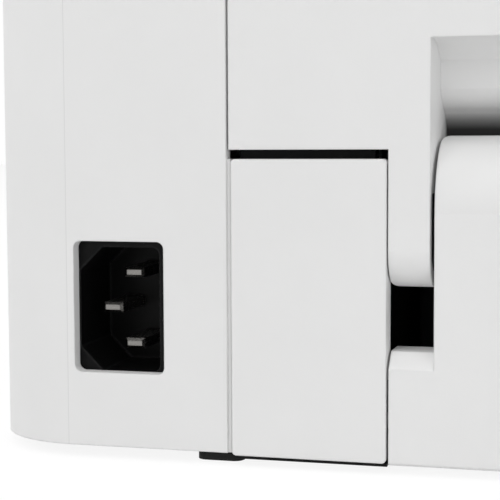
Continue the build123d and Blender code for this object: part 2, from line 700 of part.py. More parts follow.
def grip_solid(grow):
    """Hollow of the grip and the pocket behind the door's lip, grown on every side by the shell round it."""
    face = REAR_Y - GRIP_DEPTH
    pocket = REAR_Y - GRIP_POCKET
    with BuildPart() as solid:
        with BuildSketch(Plane.YZ.offset(PATH_X - BAY_HALF - grow)):
            with BuildLine():
                ThreePointArc((REAR_Y, GRIP_TOP), (REAR_Y - GRIP_SOFFIT_DEPTH, GRIP_SOFFIT), (face, GRIP_CORNER))
                Line((face, GRIP_CORNER), (face, GRIP_RIDGE))
                ThreePointArc((face, GRIP_RIDGE), (REAR_Y - GRIP_NOSE_DEPTH, GRIP_NOSE),
                              (REAR_Y - GRIP_STEP_DEPTH, GRIP_STEP))
                ThreePointArc((REAR_Y - GRIP_STEP_DEPTH, GRIP_STEP), (REAR_Y - GRIP_BEND_DEPTH, GRIP_BEND),
                              (pocket, GRIP_POCKET_Z))
                Polyline((pocket, GRIP_POCKET_Z), (pocket, 0), (REAR_Y + GRIP_SHELL, 0),
                         (REAR_Y + GRIP_SHELL, GRIP_TOP), (REAR_Y, GRIP_TOP))
            make_face()
            if grow > 0:
                offset(amount=grow)
        extrude(amount=2 * (BAY_HALF + grow))
        with BuildSketch(Plane.XZ.offset(-REAR_Y)):
            with Locations((PATH_X, GRIP_TOP)):
                Rectangle(2 * (BAY_HALF + grow), 4 * GRIP_TOP)
        extrude(amount=GRIP_POCKET + 2 * grow, taper=GRIP_DRAFT, mode=Mode.INTERSECT)
        block((-SIDE_X, SIDE_X), (FRONT_Y, REAR_Y), (-HEIGHT, GRIP_SKIRT), mode=Mode.SUBTRACT)
    return solid.part


# Rear upper cover, with the grip over the door and the strip beside it
with BuildPart() as rear_upper_cover:
    cover_right = RIGHT_EDGE - SEAM
    cover_left = LEFT_EDGE + SEAM
    curl_z = STRIP_BOTTOM + STRIP_CURL
    grip_shell = grip_solid(GRIP_SHELL)
    grip_hollow = grip_solid(0)
    with BuildSketch(Plane.XZ.offset(-REAR_Y)) as wall_outline:
        with BuildLine():
            Polyline((cover_right, COVER_TOP), (cover_right, UPPER_BOTTOM), (STRIP_RIGHT, UPPER_BOTTOM),
                     (STRIP_RIGHT, curl_z), (STRIP_LEFT, curl_z), (STRIP_LEFT, GRIP_TOP),
                     (PATH_X - BAY_HALF, GRIP_TOP), (PATH_X - BAY_HALF, curl_z),
                     (PATH_X - STRIP_HALF, curl_z), (PATH_X - STRIP_HALF, COVER_BOTTOM),
                     (cover_left, COVER_BOTTOM), (cover_left, COVER_TOP), close=True)
        make_face()
        with Locations((CONTROLLER_X + BOARD_WALL + USB_WIDTH / 2, USB_Z)):
            RectangleRounded(USB_WIDTH + 2 * PORT_CLEARANCE, USB_HEIGHT + 2 * PORT_CLEARANCE, PORT_HOLE_R,
                             mode=Mode.SUBTRACT)
        with Locations((CONTROLLER_X + BOARD_WALL + NETWORK_WIDTH / 2, NETWORK_Z)):
            RectangleRounded(NETWORK_WIDTH + 2 * PORT_CLEARANCE, NETWORK_HEIGHT + 2 * PORT_CLEARANCE,
                             PORT_HOLE_R, mode=Mode.SUBTRACT)
    extrude(amount=WALL)
    for strip_x in (STRIP_LEFT, PATH_X - STRIP_HALF):
        with BuildSketch(Plane.YZ.offset(strip_x)):
            with BuildLine():
                curl = CenterArc((REAR_Y - STRIP_CURL, curl_z), STRIP_CURL, 0, -90)
                inner_curl = CenterArc((REAR_Y - STRIP_CURL, curl_z), STRIP_CURL - WALL, -90, 90)
                Line(curl @ 1, inner_curl @ 0)
                Line(inner_curl @ 1, curl @ 0)
            make_face()
        extrude(amount=STRIP_WIDTH)
    with BuildSketch(Plane.XZ.offset(-REAR_Y)):
        with Locations((STRIP_RIGHT - STRIP_CORNER_R / 2, STRIP_BOTTOM + STRIP_CORNER_R / 2)):
            Rectangle(STRIP_CORNER_R, STRIP_CORNER_R)
        with Locations((STRIP_RIGHT - STRIP_CORNER_R, STRIP_BOTTOM + STRIP_CORNER_R)):
            Circle(STRIP_CORNER_R, mode=Mode.SUBTRACT)
    extrude(amount=STRIP_CURL + WALL, mode=Mode.SUBTRACT)
    block((PATH_X - RAIL_HALF - RAIL_WALL - BRACKET_BACK_GAP, PATH_X - RAIL_HALF + BRACKET_BACK_GAP),
          (INLET_FACE, REAR_Y - PANEL_WALL), (COVER_BOTTOM, DOOR_HINGE_Z + PANEL_PIN_RELIEF), mode=Mode.SUBTRACT)
    add(grip_shell)
    add(grip_hollow, mode=Mode.SUBTRACT)

# Service panel beside the door: a shallow lid with a rim that meets the wall behind it
with BuildPart() as service_panel:
    with BuildSketch(Plane.XZ.offset(-REAR_Y)):
        with Locations(((PANEL_LEFT + PANEL_RIGHT) / 2, (PANEL_BOTTOM + PANEL_TOP) / 2)):
            RectangleRounded(PANEL_WIDTH, PANEL_TOP - PANEL_BOTTOM, PANEL_CORNER_R)
    extrude(amount=PANEL_RIM)
    block((PANEL_LEFT + PANEL_WALL, PANEL_RIGHT - PANEL_WALL), (REAR_Y - PANEL_RIM, REAR_Y - PANEL_WALL),
          (PANEL_BOTTOM + PANEL_WALL, PANEL_TOP - PANEL_WALL), mode=Mode.SUBTRACT)
    block((PANEL_LEFT, PANEL_LEFT + PANEL_PIN_RELIEF), (REAR_Y - PANEL_RIM, REAR_Y - PANEL_WALL),
          (PANEL_BOTTOM, DOOR_HINGE_Z + PANEL_PIN_RELIEF), mode=Mode.SUBTRACT)

# Rear door: rolled top lip, a flange along its foot and two ears with the hinge pins
with BuildPart() as rear_door:
    foot_edge = DOOR_BOTTOM + DOOR_FOOT_EDGE
    lip_back = REAR_Y - DOOR_LIP_R
    lip_z = DOOR_TOP - DOOR_LIP_R
    with BuildSketch(Plane.YZ.offset(PATH_X - DOOR_HALF)):
        with BuildLine():
            Line((REAR_Y, foot_edge), (REAR_Y, lip_z))
            lip = CenterArc((lip_back, lip_z), DOOR_LIP_R, 0, 90)
            inner_lip = CenterArc((lip_back, lip_z), DOOR_LIP_R - DOOR_WALL, 90, -90)
            Line(lip @ 1, inner_lip @ 0)
            Polyline(inner_lip @ 1, (REAR_Y - DOOR_WALL, DOOR_BOTTOM + DOOR_WALL),
                     (REAR_Y - DOOR_FLANGE, DOOR_BOTTOM + DOOR_WALL), (REAR_Y - DOOR_FLANGE, DOOR_BOTTOM),
                     (REAR_Y - DOOR_FOOT_EDGE, DOOR_BOTTOM), (REAR_Y, foot_edge))
        make_face()
    extrude(amount=2 * DOOR_HALF)
    for side in (-1, 1):
        cheek_outer = PATH_X + side * DOOR_HALF
        with BuildSketch(Plane.YZ.offset(min(cheek_outer, cheek_outer - side * DOOR_WALL))):
            with BuildLine():
                cheek_lip = CenterArc((lip_back, lip_z), DOOR_LIP_R - CHEEK_STEP, 0, 90)
                Polyline(cheek_lip @ 1, (lip_back, DOOR_EAR_TOP), (REAR_Y - CHEEK_STEP, DOOR_EAR_TOP),
                         cheek_lip @ 0)
            make_face()
        extrude(amount=DOOR_WALL)
        ear_back = REAR_Y - DOOR_EAR_DEPTH
        ear_shoulder = DOOR_EAR_TOP + DOOR_EAR_BEVEL
        with BuildSketch(Plane.YZ.offset(min(cheek_outer - side * DOOR_WALL, PATH_X + side * EAR_HALF))):
            with BuildLine():
                Polyline((REAR_Y, foot_edge), (REAR_Y, DOOR_EAR_TOP), (REAR_Y - DOOR_EAR_BEVEL, ear_shoulder),
                         (ear_back, ear_shoulder), (ear_back, DOOR_BOTTOM), (REAR_Y - DOOR_FOOT_EDGE, DOOR_BOTTOM),
                         close=True)
            make_face()
        extrude(amount=DOOR_EAR_WIDTH + DOOR_WALL)
        with BuildSketch(Plane.XZ.offset(-REAR_Y)):
            with Locations((cheek_outer, DOOR_TOP)):
                Rectangle(2 * DOOR_CORNER_R, 2 * DOOR_CORNER_R)
            with Locations((cheek_outer - side * DOOR_CORNER_R, DOOR_TOP - DOOR_CORNER_R)):
                Circle(DOOR_CORNER_R, mode=Mode.SUBTRACT)
        extrude(amount=DOOR_LIP_R + DOOR_WALL, mode=Mode.SUBTRACT)
    turned([(PATH_X - EAR_HALF - DOOR_PIN_LENGTH, PATH_X - EAR_HALF + DOOR_WALL, DOOR_PIN_R),
            (PATH_X + EAR_HALF - DOOR_WALL, PATH_X + EAR_HALF + DOOR_PIN_LENGTH, DOOR_PIN_R)],
           DOOR_HINGE_Y, DOOR_HINGE_Z)

# Paper guide inside the rear door: curved ribs that turn the sheet under the cassette
with BuildPart() as rear_door_guide:
    guide_back = REAR_Y - DOOR_WALL
    block(about(PATH_X, GUIDE_HALF), (guide_back - GUIDE_PLATE, guide_back), (GUIDE_BOTTOM, GUIDE_TOP))
    rib_pitch = (2 * GUIDE_HALF - GUIDE_RIB_WALL) / (GUIDE_RIBS - 1)
    for rib in range(GUIDE_RIBS):
        rib_x = PATH_X - GUIDE_HALF + rib * rib_pitch
        with BuildSketch(Plane.YZ.offset(rib_x)):
            with BuildLine():
                toe_y = REAR_Y - GUIDE_REACH
                turn_z = GUIDE_BOTTOM + GUIDE_TURN_R
                turn = CenterArc((toe_y, turn_z), GUIDE_TURN_R, 0, -90)
                Polyline(turn @ 1, (toe_y, GUIDE_BOTTOM - GUIDE_SIDE_RIM),
                         (guide_back - GUIDE_PLATE, GUIDE_BOTTOM - GUIDE_SIDE_RIM),
                         (guide_back - GUIDE_PLATE, turn_z), turn @ 0)
            make_face()
        extrude(amount=GUIDE_RIB_WALL)

# Power inlet with its recessed cavity, and the three pins that it carries
with BuildPart() as power_inlet:
    with BuildSketch(Plane.XZ.offset(-INLET_FACE)):
        with Locations((INLET_X, INLET_Z)):
            RectangleRounded(INLET_WIDTH, INLET_HEIGHT, INLET_BODY_R)
    extrude(amount=INLET_DEPTH)
    with BuildSketch(Plane.XZ.offset(-INLET_FACE)) as cavity_outline:
        with Locations((INLET_X, INLET_Z)):
            Rectangle(INLET_CAVITY_WIDTH, INLET_CAVITY_HEIGHT)
        chamfer(cavity_outline.vertices().group_by(Axis.X)[-1], INLET_CHAMFER)
        fillet(cavity_outline.vertices().group_by(Axis.X)[0], INLET_SMALL_R)
    extrude(amount=INLET_CAVITY_DEPTH, mode=Mode.SUBTRACT)
    with BuildSketch(Plane.XZ.offset(-INLET_FACE)):
        pin_places = [(INLET_X - LINE_PIN_OFFSET, INLET_Z - PIN_SPACING / 2),
                      (INLET_X - LINE_PIN_OFFSET, INLET_Z + PIN_SPACING / 2),
                      (INLET_X + EARTH_PIN_OFFSET, INLET_Z)]
        with Locations(*pin_places):
            Rectangle(PIN_WIDTH, PIN_THICKNESS)
    extrude(amount=INLET_DEPTH, mode=Mode.SUBTRACT)

with BuildPart() as inlet_pins:
    pin_root = INLET_FACE - INLET_CAVITY_DEPTH
    with BuildSketch(Plane.XZ.offset(-(pin_root + PIN_LENGTH))):
        with Locations(*pin_places):
            Rectangle(PIN_WIDTH, PIN_THICKNESS)
    extrude(amount=PIN_LENGTH + PIN_TAIL)
    tips = inlet_pins.faces().filter_by(Axis.Y).group_by(Axis.Y)[-1]
    chamfer(tips.edges(), PIN_TIP)

# Front cover: outer skin rolled round the hinge at its foot, with two side walls and the pins
with BuildPart() as front_cover:
    with BuildSketch(Plane.YZ.offset(PATH_X - FRONT_HALF)):
        with BuildLine():
            outer_roll = CenterArc((FRONT_HINGE_Y, FRONT_HINGE_Z), FRONT_BARREL_R, -90, -90)
            Line(outer_roll @ 1, (FRONT_Y, FRONT_COVER_TOP))
            Line((FRONT_Y, FRONT_COVER_TOP), (FRONT_Y + WALL, FRONT_COVER_TOP))
            inner_roll = CenterArc((FRONT_HINGE_Y, FRONT_HINGE_Z), FRONT_BARREL_R - WALL, 180, 90)
            Line((FRONT_Y + WALL, FRONT_COVER_TOP), inner_roll @ 0)
            Line(inner_roll @ 1, outer_roll @ 0)
        make_face()
    extrude(amount=2 * FRONT_HALF)
    for side in (-1, 1):
        wall_outer = PATH_X + side * FRONT_HALF
        with BuildSketch(Plane.YZ.offset(min(wall_outer, wall_outer - side * WALL))):
            with BuildLine():
                wall_roll = CenterArc((FRONT_HINGE_Y, FRONT_HINGE_Z), FRONT_BARREL_R - CHEEK_STEP, -180, 180)
                Polyline(wall_roll @ 0, (FRONT_Y + CHEEK_STEP, FRONT_COVER_TOP),
                         (FRONT_Y + FRONT_COVER_RIM, FRONT_COVER_TOP),
                         (FRONT_Y + FRONT_COVER_SIDE, FRONT_COVER_TOP - FRONT_COVER_SIDE),
                         (FRONT_Y + FRONT_COVER_SIDE, FRONT_HINGE_Z + FRONT_BARREL_R), wall_roll @ 1)
            make_face()
        extrude(amount=WALL)
    turned([(PATH_X - FRONT_HALF - FRONT_PIN_LENGTH, PATH_X - FRONT_HALF + WALL, FRONT_PIN_R),
            (PATH_X + FRONT_HALF - WALL, PATH_X + FRONT_HALF + FRONT_PIN_LENGTH, FRONT_PIN_R)],
           FRONT_HINGE_Y, FRONT_HINGE_Z)

# Inner panel of the front cover, with ribs that hold the skin flat
with BuildPart() as front_cover_liner:
    liner_face = FRONT_Y + WALL + LINER_SPACE
    liner_half = FRONT_HALF - LINER_INSET
    block(about(PATH_X, liner_half), (liner_face, liner_face + LINER_WALL),
          (FRONT_HINGE_Z + LINER_MARGIN, FRONT_COVER_TOP - LINER_MARGIN))
    with BuildSketch(Plane.XZ.offset(-liner_face)):
        with Locations((PATH_X, (FRONT_HINGE_Z + FRONT_COVER_TOP) / 2)):
            with GridLocations(2 * liner_half / LINER_RIBS, 0, LINER_RIBS, 1):
                Rectangle(LINER_WALL, FRONT_COVER_TOP - FRONT_HINGE_Z - 2 * LINER_MARGIN)
    extrude(amount=LINER_SPACE)

# Front of the cassette, with a hand hold at its lower edge
with BuildPart() as cassette_front:
    with BuildSketch(Plane.XZ.offset(-FRONT_Y)):
        with Locations((PATH_X, (CASSETTE_FRONT_BOTTOM + CASSETTE_FRONT_TOP) / 2)):
            RectangleRounded(2 * FRONT_HALF, CASSETTE_FRONT_TOP - CASSETTE_FRONT_BOTTOM, CASSETTE_FRONT_R)
    extrude(amount=-CASSETTE_FRONT_WALL)
    with BuildSketch(Plane.XZ.offset(-FRONT_Y)):
        with Locations((PATH_X, CASSETTE_FRONT_BOTTOM + HANDLE_RISE + HANDLE_HEIGHT / 2)):
            RectangleRounded(HANDLE_WIDTH, HANDLE_HEIGHT, HANDLE_R)
    extrude(amount=-CASSETTE_FRONT_WALL, mode=Mode.SUBTRACT)

# Cassette tray: open box, with a hollow behind the hand hold
with BuildPart() as cassette_tray:
    tray_front = FRONT_Y + CASSETTE_FRONT_WALL
    block(about(PATH_X, TRAY_HALF), (tray_front, TRAY_REAR), (TRAY_BOTTOM, TRAY_TOP))
    fillet(cassette_tray.edges().filter_by(Axis.Z).group_by(Axis.Y)[-1], TRAY_CORNER_R)
    block(about(PATH_X, TRAY_HALF - TRAY_WALL), (tray_front + TRAY_WALL, TRAY_REAR - TRAY_WALL),
          (TRAY_FLOOR, TRAY_TOP), mode=Mode.SUBTRACT)
    handle_z = (CASSETTE_FRONT_BOTTOM + HANDLE_RISE, CASSETTE_FRONT_BOTTOM + HANDLE_RISE + HANDLE_HEIGHT)
    block(about(PATH_X, HANDLE_WIDTH / 2 + HANDLE_WALL), (tray_front, FRONT_Y + HANDLE_DEPTH + HANDLE_WALL),
          (handle_z[0] - HANDLE_WALL, handle_z[1] + HANDLE_WALL))
    block(about(PATH_X, HANDLE_WIDTH / 2), (tray_front, FRONT_Y + HANDLE_DEPTH), handle_z, mode=Mode.SUBTRACT)
    slot_limits = (LENGTH_SLOT_FRONT, TRAY_REAR - TRAY_WALL)
    block(about(PATH_X, LENGTH_SLOT_HALF), slot_limits, (TRAY_BOTTOM, TRAY_FLOOR), mode=Mode.SUBTRACT)
    with Locations((PATH_X, RACK_Y, TRAY_FLOOR + RACK_HEIGHT / 2)):
        Cylinder(GUIDE_BOSS_R, RACK_HEIGHT)
    for side in (-1, 1):
        ear_inner = PATH_X + side * (LIFT_HALF + RUNNING_GAP)
        block(sorted((ear_inner, ear_inner + side * LIFT_EAR)), about(LIFT_REAR, LIFT_EAR),
              (TRAY_FLOOR, LIFT_Z + LIFT_EAR))
    turned([(PATH_X - LIFT_HALF - 2 * LIFT_EAR, PATH_X + LIFT_HALF + 2 * LIFT_EAR, LIFT_PIN_R + PIN_CLEARANCE)],
           LIFT_REAR, LIFT_Z, Mode.SUBTRACT)

# Separation pad on the front wall of the tray, under the pickup roller
with BuildPart() as separation_pad:
    pad_front = FRONT_Y + CASSETTE_FRONT_WALL + TRAY_WALL
    with BuildSketch(Plane.YZ.offset(PATH_X - PICKUP_HALF)):
        with BuildLine():
            Polyline((pad_front, TRAY_TOP), (pad_front, TRAY_TOP - PAD_DROP),
                     (pad_front + PAD_TOE, TRAY_TOP - PAD_DROP), (pad_front + PAD_REACH, TRAY_TOP - PAD_TOE),
                     (pad_front + PAD_REACH, TRAY_TOP), close=True)
        make_face()
    extrude(amount=2 * PICKUP_HALF)

# Lift plate, hinged at its rear edge, that raises the sheets to the pickup roller
with BuildPart() as lift_plate:
    block(about(PATH_X, LIFT_HALF), (LIFT_FRONT, LIFT_REAR), about(LIFT_Z, LIFT_WALL / 2))
    with BuildSketch(Plane.XY.offset(LIFT_Z - LIFT_WALL / 2)):
        with Locations((PATH_X, (LIFT_FRONT + LIFT_REAR) / 2)):
            with GridLocations(LIFT_SLOT_SPREAD, 0, 2, 1):
                SlotOverall(LIFT_SLOT_LENGTH, LIFT_SLOT_WIDTH, rotation=90)
    extrude(amount=LIFT_WALL, mode=Mode.SUBTRACT)
    block(about(PATH_X, LIFT_HALF), (LIFT_FRONT, LIFT_FRONT + LIFT_WALL), (LIFT_Z - LIFT_LIP, LIFT_Z))
    turned([(PATH_X - LIFT_HALF - LIFT_PIN_LENGTH, PATH_X + LIFT_HALF + LIFT_PIN_LENGTH, LIFT_PIN_R)],
           LIFT_REAR, LIFT_Z)


def width_guide(side):
    """Side guide with its foot and the toothed rack that reaches over to the pinion."""
    inner = PATH_X + side * SHEET_WIDTH / 2
    pitch_r = MODULE * GUIDE_PINION_TEETH / 2
    rack_line = RACK_Y + side * pitch_r
    rack_end = PATH_X - side * RACK_OVERRUN
    tooth_root = TOOTH_ROOT_SHARE * math.pi * MODULE
    tooth_tip = TOOTH_TIP_SHARE * math.pi * MODULE
    with BuildPart() as guide:
        block(sorted((inner, inner + side * SIDE_GUIDE_WALL)), about(RACK_Y, SIDE_GUIDE_LENGTH / 2),
              (RACK_Z, RACK_Z + GUIDE_HEIGHT))
        block(sorted((inner, inner + side * GUIDE_FOOT)), about(RACK_Y, SIDE_GUIDE_LENGTH / 2),
              (RACK_Z, RACK_Z + SIDE_GUIDE_WALL))
        root_line = rack_line + side * DEDENDUM * MODULE
        block(sorted((rack_end, inner)), sorted((root_line, root_line + side * RACK_BACK)),
              (RACK_Z, RACK_Z + RACK_HEIGHT))
        with BuildSketch(Plane.XY.offset(RACK_Z)):
            pitch = math.pi * MODULE
            for tooth in range(RACK_TEETH):
                tooth_x = PATH_X + side * (tooth - RACK_LEAD) * pitch
                tip_y = rack_line - side * ADDENDUM * MODULE
                foot_y = root_line + side * RACK_BACK / 2
                with BuildLine():
                    Polyline((tooth_x - tooth_root / 2, foot_y), (tooth_x - tooth_tip / 2, tip_y),
                             (tooth_x + tooth_tip / 2, tip_y), (tooth_x + tooth_root / 2, foot_y), close=True)
                make_face()
        extrude(amount=RACK_HEIGHT)
    return guide


# Width guides: two racks on one pinion, so that they close on the sheets together
right_width_guide = width_guide(1)
left_width_guide = width_guide(-1)

with BuildPart() as guide_pinion:
    pinion_plane = Plane((PATH_X, RACK_Y, RACK_Z), x_dir=(1, 0, 0), z_dir=(0, 0, 1))
    guide_phase = 90.0 + 180 / GUIDE_PINION_TEETH
    extrude(gear_outline(pinion_plane, GUIDE_PINION_TEETH, guide_phase, GUIDE_BOSS_R + SHAFT_CLEARANCE),
            amount=RACK_HEIGHT)

# Length guide, which slides forward for shorter sheets
with BuildPart() as length_guide:
    foot_start = LENGTH_FACE - LENGTH_GUIDE_FOOT
    block(about(PATH_X, LENGTH_GUIDE_HALF), (LENGTH_FACE, LENGTH_FACE + LENGTH_GUIDE_WALL),
          (RACK_Z, RACK_Z + GUIDE_HEIGHT))
    block(about(PATH_X, LENGTH_GUIDE_HALF / 2), (foot_start, LENGTH_FACE), (RACK_Z, RACK_Z + LENGTH_GUIDE_WALL))
    block(about(PATH_X, LENGTH_SLOT_HALF - RUNNING_GAP),
          (foot_start + LENGTH_GUIDE_WALL, LENGTH_FACE - LENGTH_GUIDE_WALL), (TRAY_BOTTOM + RUNNING_GAP, RACK_Z))

# Side frames of folded steel on the outer faces of the rails
shaft_places = [(PICKUP_Y, PICKUP_Z), (REGISTRATION_Y, REGISTRATION_Z), (DRUM_Y, DRUM_Z),
                (DRUM_Y, TRANSFER_Z), (PRESSURE_Y, PRESSURE_Z), (PRESSURE_Y, HEAT_Z), (EXIT_Y, EXIT_Z)]


def side_frame(side, inner_x):
    """Steel side frame, with its bearing holes, a window and a foot folded onto the floor."""
    with BuildPart() as frame:
        with BuildSketch(Plane.YZ.offset(min(inner_x, inner_x + side * FRAME_WALL))):
            with BuildLine():
                Polyline((FRAME_FRONT - FRAME_STEP, BASE_TOP), (FRAME_REAR, BASE_TOP), (FRAME_REAR, FRAME_TOP),
                         (EXIT_Y + FRAME_HORN_REAR, FRAME_TOP + FRAME_HORN),
                         (EXIT_Y - FRAME_HORN_FRONT, FRAME_TOP + FRAME_HORN),
                         (EXIT_Y - FRAME_HORN_FRONT, FRAME_TOP), (DRUM_Y - FRAME_BEND, FRAME_TOP),
                         (FRAME_FRONT - FRAME_STEP, FRAME_NOSE_Z), close=True)
            make_face()
            with Locations(*shaft_places):
                Circle(SHAFT_R + SHAFT_CLEARANCE, mode=Mode.SUBTRACT)
            with Locations((DRUM_Y - WINDOW_BEFORE, FRAME_NOSE_Z + WINDOW_RISE)):
                RectangleRounded(WINDOW_LENGTH, WINDOW_HEIGHT, WINDOW_R, mode=Mode.SUBTRACT)
        extrude(amount=FRAME_WALL)
        foot_limits = sorted((inner_x + side * FRAME_WALL, inner_x + side * FRAME_FOOT))
        block(foot_limits, (FRAME_FRONT + FRAME_STEP, FRAME_REAR - FRAME_FOOT_END),
              (BASE_TOP, BASE_TOP + FRAME_WALL))
    return frame


right_side_frame = side_frame(1, RIGHT_FRAME_X)
left_side_frame = side_frame(-1, LEFT_FRAME_X)

# Stay between the side frames, which carries the laser scanner
with BuildPart() as scanner_stay:
    stay_front = SCANNER_FRONT - STAY_MARGIN
    stay_rear = SCANNER_REAR + STAY_MARGIN
    block((LEFT_FRAME_X, RIGHT_FRAME_X), (stay_front, stay_rear), (STAY_Z, STAY_Z + FRAME_WALL))
    for flange_y in (stay_front, stay_rear - FRAME_WALL):
        block((LEFT_FRAME_X, RIGHT_FRAME_X), (flange_y, flange_y + FRAME_WALL), (STAY_Z, STAY_Z + STAY_FLANGE))
    block(about(PATH_X, DRUM_HALF), about(BEAM_Y, 2 * BEAM_HALF), (STAY_Z, STAY_Z + FRAME_WALL),
          mode=Mode.SUBTRACT)


def scanner_plan(z, inset):
    """Plan of the scanner's housing at a height, drawn inset from its outer walls."""
    with BuildSketch(Plane.XY.offset(z)) as plan:
        with Locations((PATH_X, (SCANNER_FRONT + SCANNER_REAR) / 2)):
            RectangleRounded(2 * (SCANNER_HALF - inset), SCANNER_REAR - SCANNER_FRONT - 2 * inset,
                             SCANNER_R - inset)
    return plan.sketch


# Laser scanner: housing, lid, lens and the turning polygon mirror
with BuildPart() as scanner_housing:
    extrude(scanner_plan(SCANNER_BOTTOM, 0), amount=SCANNER_HEIGHT)
    extrude(scanner_plan(SCANNER_FLOOR, SCANNER_WALL), amount=SCANNER_HEIGHT, mode=Mode.SUBTRACT)
    block(about(PATH_X, DRUM_HALF - BEAM_MARGIN), about(BEAM_Y, BEAM_HALF), (SCANNER_BOTTOM, SCANNER_FLOOR),
          mode=Mode.SUBTRACT)
    with Locations((PATH_X, POLYGON_Y, SCANNER_FLOOR)):
        Cylinder(POLYGON_BOSS_R, POLYGON_BOSS, align=(Align.CENTER, Align.CENTER, Align.MIN))
        Cylinder(POLYGON_SHAFT_R, POLYGON_BOSS + 2 * POLYGON_WALL, align=(Align.CENTER, Align.CENTER, Align.MIN))

with BuildPart() as scanner_lid:
    extrude(scanner_plan(SCANNER_TOP, 0), amount=SCANNER_LID)

with BuildPart() as scanner_lens:
    lens_front = BEAM_Y + LENS_GAP
    lens_bend = lens_front + LENS_BOW
    lens_rear = lens_front + LENS_WALL
    with BuildSketch(Plane.XY.offset(SCANNER_FLOOR)):
        with BuildLine():
            ThreePointArc((PATH_X - LENS_HALF, lens_bend), (PATH_X, lens_front), (PATH_X + LENS_HALF, lens_bend))
            Polyline((PATH_X + LENS_HALF, lens_bend), (PATH_X + LENS_HALF, lens_rear),
                     (PATH_X - LENS_HALF, lens_rear), (PATH_X - LENS_HALF, lens_bend))
        make_face()
    extrude(amount=LENS_HEIGHT)

with BuildPart() as polygon_mirror:
    with BuildSketch(Plane.XY.offset(SCANNER_FLOOR + POLYGON_BOSS + RUNNING_GAP)):
        with Locations((PATH_X, POLYGON_Y)):
            RegularPolygon(POLYGON_R, 6)
            Circle(POLYGON_SHAFT_R + SHAFT_CLEARANCE, mode=Mode.SUBTRACT)
    extrude(amount=POLYGON_WALL)

# Toner cartridge over the drum, and the drum itself
with BuildPart() as toner_cartridge:
    saddle_front = DRUM_Y - CARTRIDGE_SADDLE
    saddle_rear = DRUM_Y + CARTRIDGE_SADDLE
    saddle_top = DRUM_Z + CARTRIDGE_SADDLE
    with BuildSketch(Plane.YZ.offset(PATH_X - CARTRIDGE_HALF)):
        with BuildLine():
            Polyline((CARTRIDGE_FRONT, CARTRIDGE_BOTTOM + CARTRIDGE_BEVEL),
                     (CARTRIDGE_FRONT + CARTRIDGE_BEVEL, CARTRIDGE_BOTTOM),
                     (DRUM_Y - CARTRIDGE_NECK, CARTRIDGE_BOTTOM), (saddle_front, DRUM_Z - CARTRIDGE_SKIRT),
                     (saddle_front, saddle_top), (saddle_rear, saddle_top), (saddle_rear, DRUM_Z - CARTRIDGE_SKIRT),
                     (CARTRIDGE_REAR, DRUM_Z), (CARTRIDGE_REAR, CARTRIDGE_TOP - CARTRIDGE_SLOPE),
                     (CARTRIDGE_REAR - CARTRIDGE_SLOPE, CARTRIDGE_TOP - CARTRIDGE_BEVEL),
                     (CARTRIDGE_FRONT + CARTRIDGE_NECK, CARTRIDGE_TOP),
                     (CARTRIDGE_FRONT, CARTRIDGE_TOP - CARTRIDGE_SLOPE), close=True)
        make_face()
    extrude(amount=2 * CARTRIDGE_HALF)
    for side in (-1, 1):
        cheek = sorted((PATH_X + side * (DRUM_HALF + ROLLER_END_GAP), PATH_X + side * CARTRIDGE_HALF))
        block(cheek, about(DRUM_Y, CARTRIDGE_CHEEK), (DRUM_Z - CARTRIDGE_CHEEK / 2, DRUM_Z + CARTRIDGE_CHEEK))
    turned([(PATH_X - RAIL_HALF, PATH_X + RAIL_HALF, SHAFT_R + SHAFT_CLEARANCE)],
           DRUM_Y, DRUM_Z, Mode.SUBTRACT)

with BuildPart() as photosensitive_drum:
    turned([(LEFT_FRAME_X - FRAME_WALL, PATH_X - DRUM_HALF, SHAFT_R),
            (PATH_X - DRUM_HALF, PATH_X + DRUM_HALF, DRUM_R),
            (PATH_X + DRUM_HALF, GEAR_X + GEAR_WIDTH + SHAFT_END, SHAFT_R)], DRUM_Y, DRUM_Z)

# Rollers of the paper path
with BuildPart() as transfer_roller:
    turned([(LEFT_FRAME_X - FRAME_WALL, PATH_X - ROLLER_HALF, SHAFT_R),
            (PATH_X - ROLLER_HALF, PATH_X + ROLLER_HALF, TRANSFER_R),
            (PATH_X + ROLLER_HALF, RIGHT_FRAME_X + FRAME_WALL, SHAFT_R)], DRUM_Y, TRANSFER_Z)

with BuildPart() as pickup_shaft:
    turned([(LEFT_FRAME_X - FRAME_WALL, RIGHT_FRAME_X + FRAME_WALL, SHAFT_R)], PICKUP_Y, PICKUP_Z)

with BuildPart() as pickup_roller:
    turned([(PATH_X - PICKUP_HALF, PATH_X + PICKUP_HALF, PICKUP_R)], PICKUP_Y, PICKUP_Z)
    turned([(PATH_X - PICKUP_HALF, PATH_X + PICKUP_HALF, SHAFT_R)], PICKUP_Y, PICKUP_Z, Mode.SUBTRACT)

with BuildPart() as registration_roller:
    turned([(LEFT_FRAME_X - FRAME_WALL, PATH_X - ROLLER_HALF, SHAFT_R),
            (PATH_X - ROLLER_HALF, PATH_X + ROLLER_HALF, REGISTRATION_R),
            (PATH_X + ROLLER_HALF, RIGHT_FRAME_X + FRAME_WALL, SHAFT_R)], REGISTRATION_Y, REGISTRATION_Z)

with BuildPart() as exit_roller:
    turned([(LEFT_FRAME_X - FRAME_WALL, RIGHT_FRAME_X + FRAME_WALL, SHAFT_R)], EXIT_Y, EXIT_Z)
    for ring in range(EXIT_RINGS):
        ring_x = PATH_X + (ring - (EXIT_RINGS - 1) / 2) * EXIT_RING_PITCH
        turned([(ring_x - EXIT_RING_HALF, ring_x + EXIT_RING_HALF, EXIT_R)], EXIT_Y, EXIT_Z)

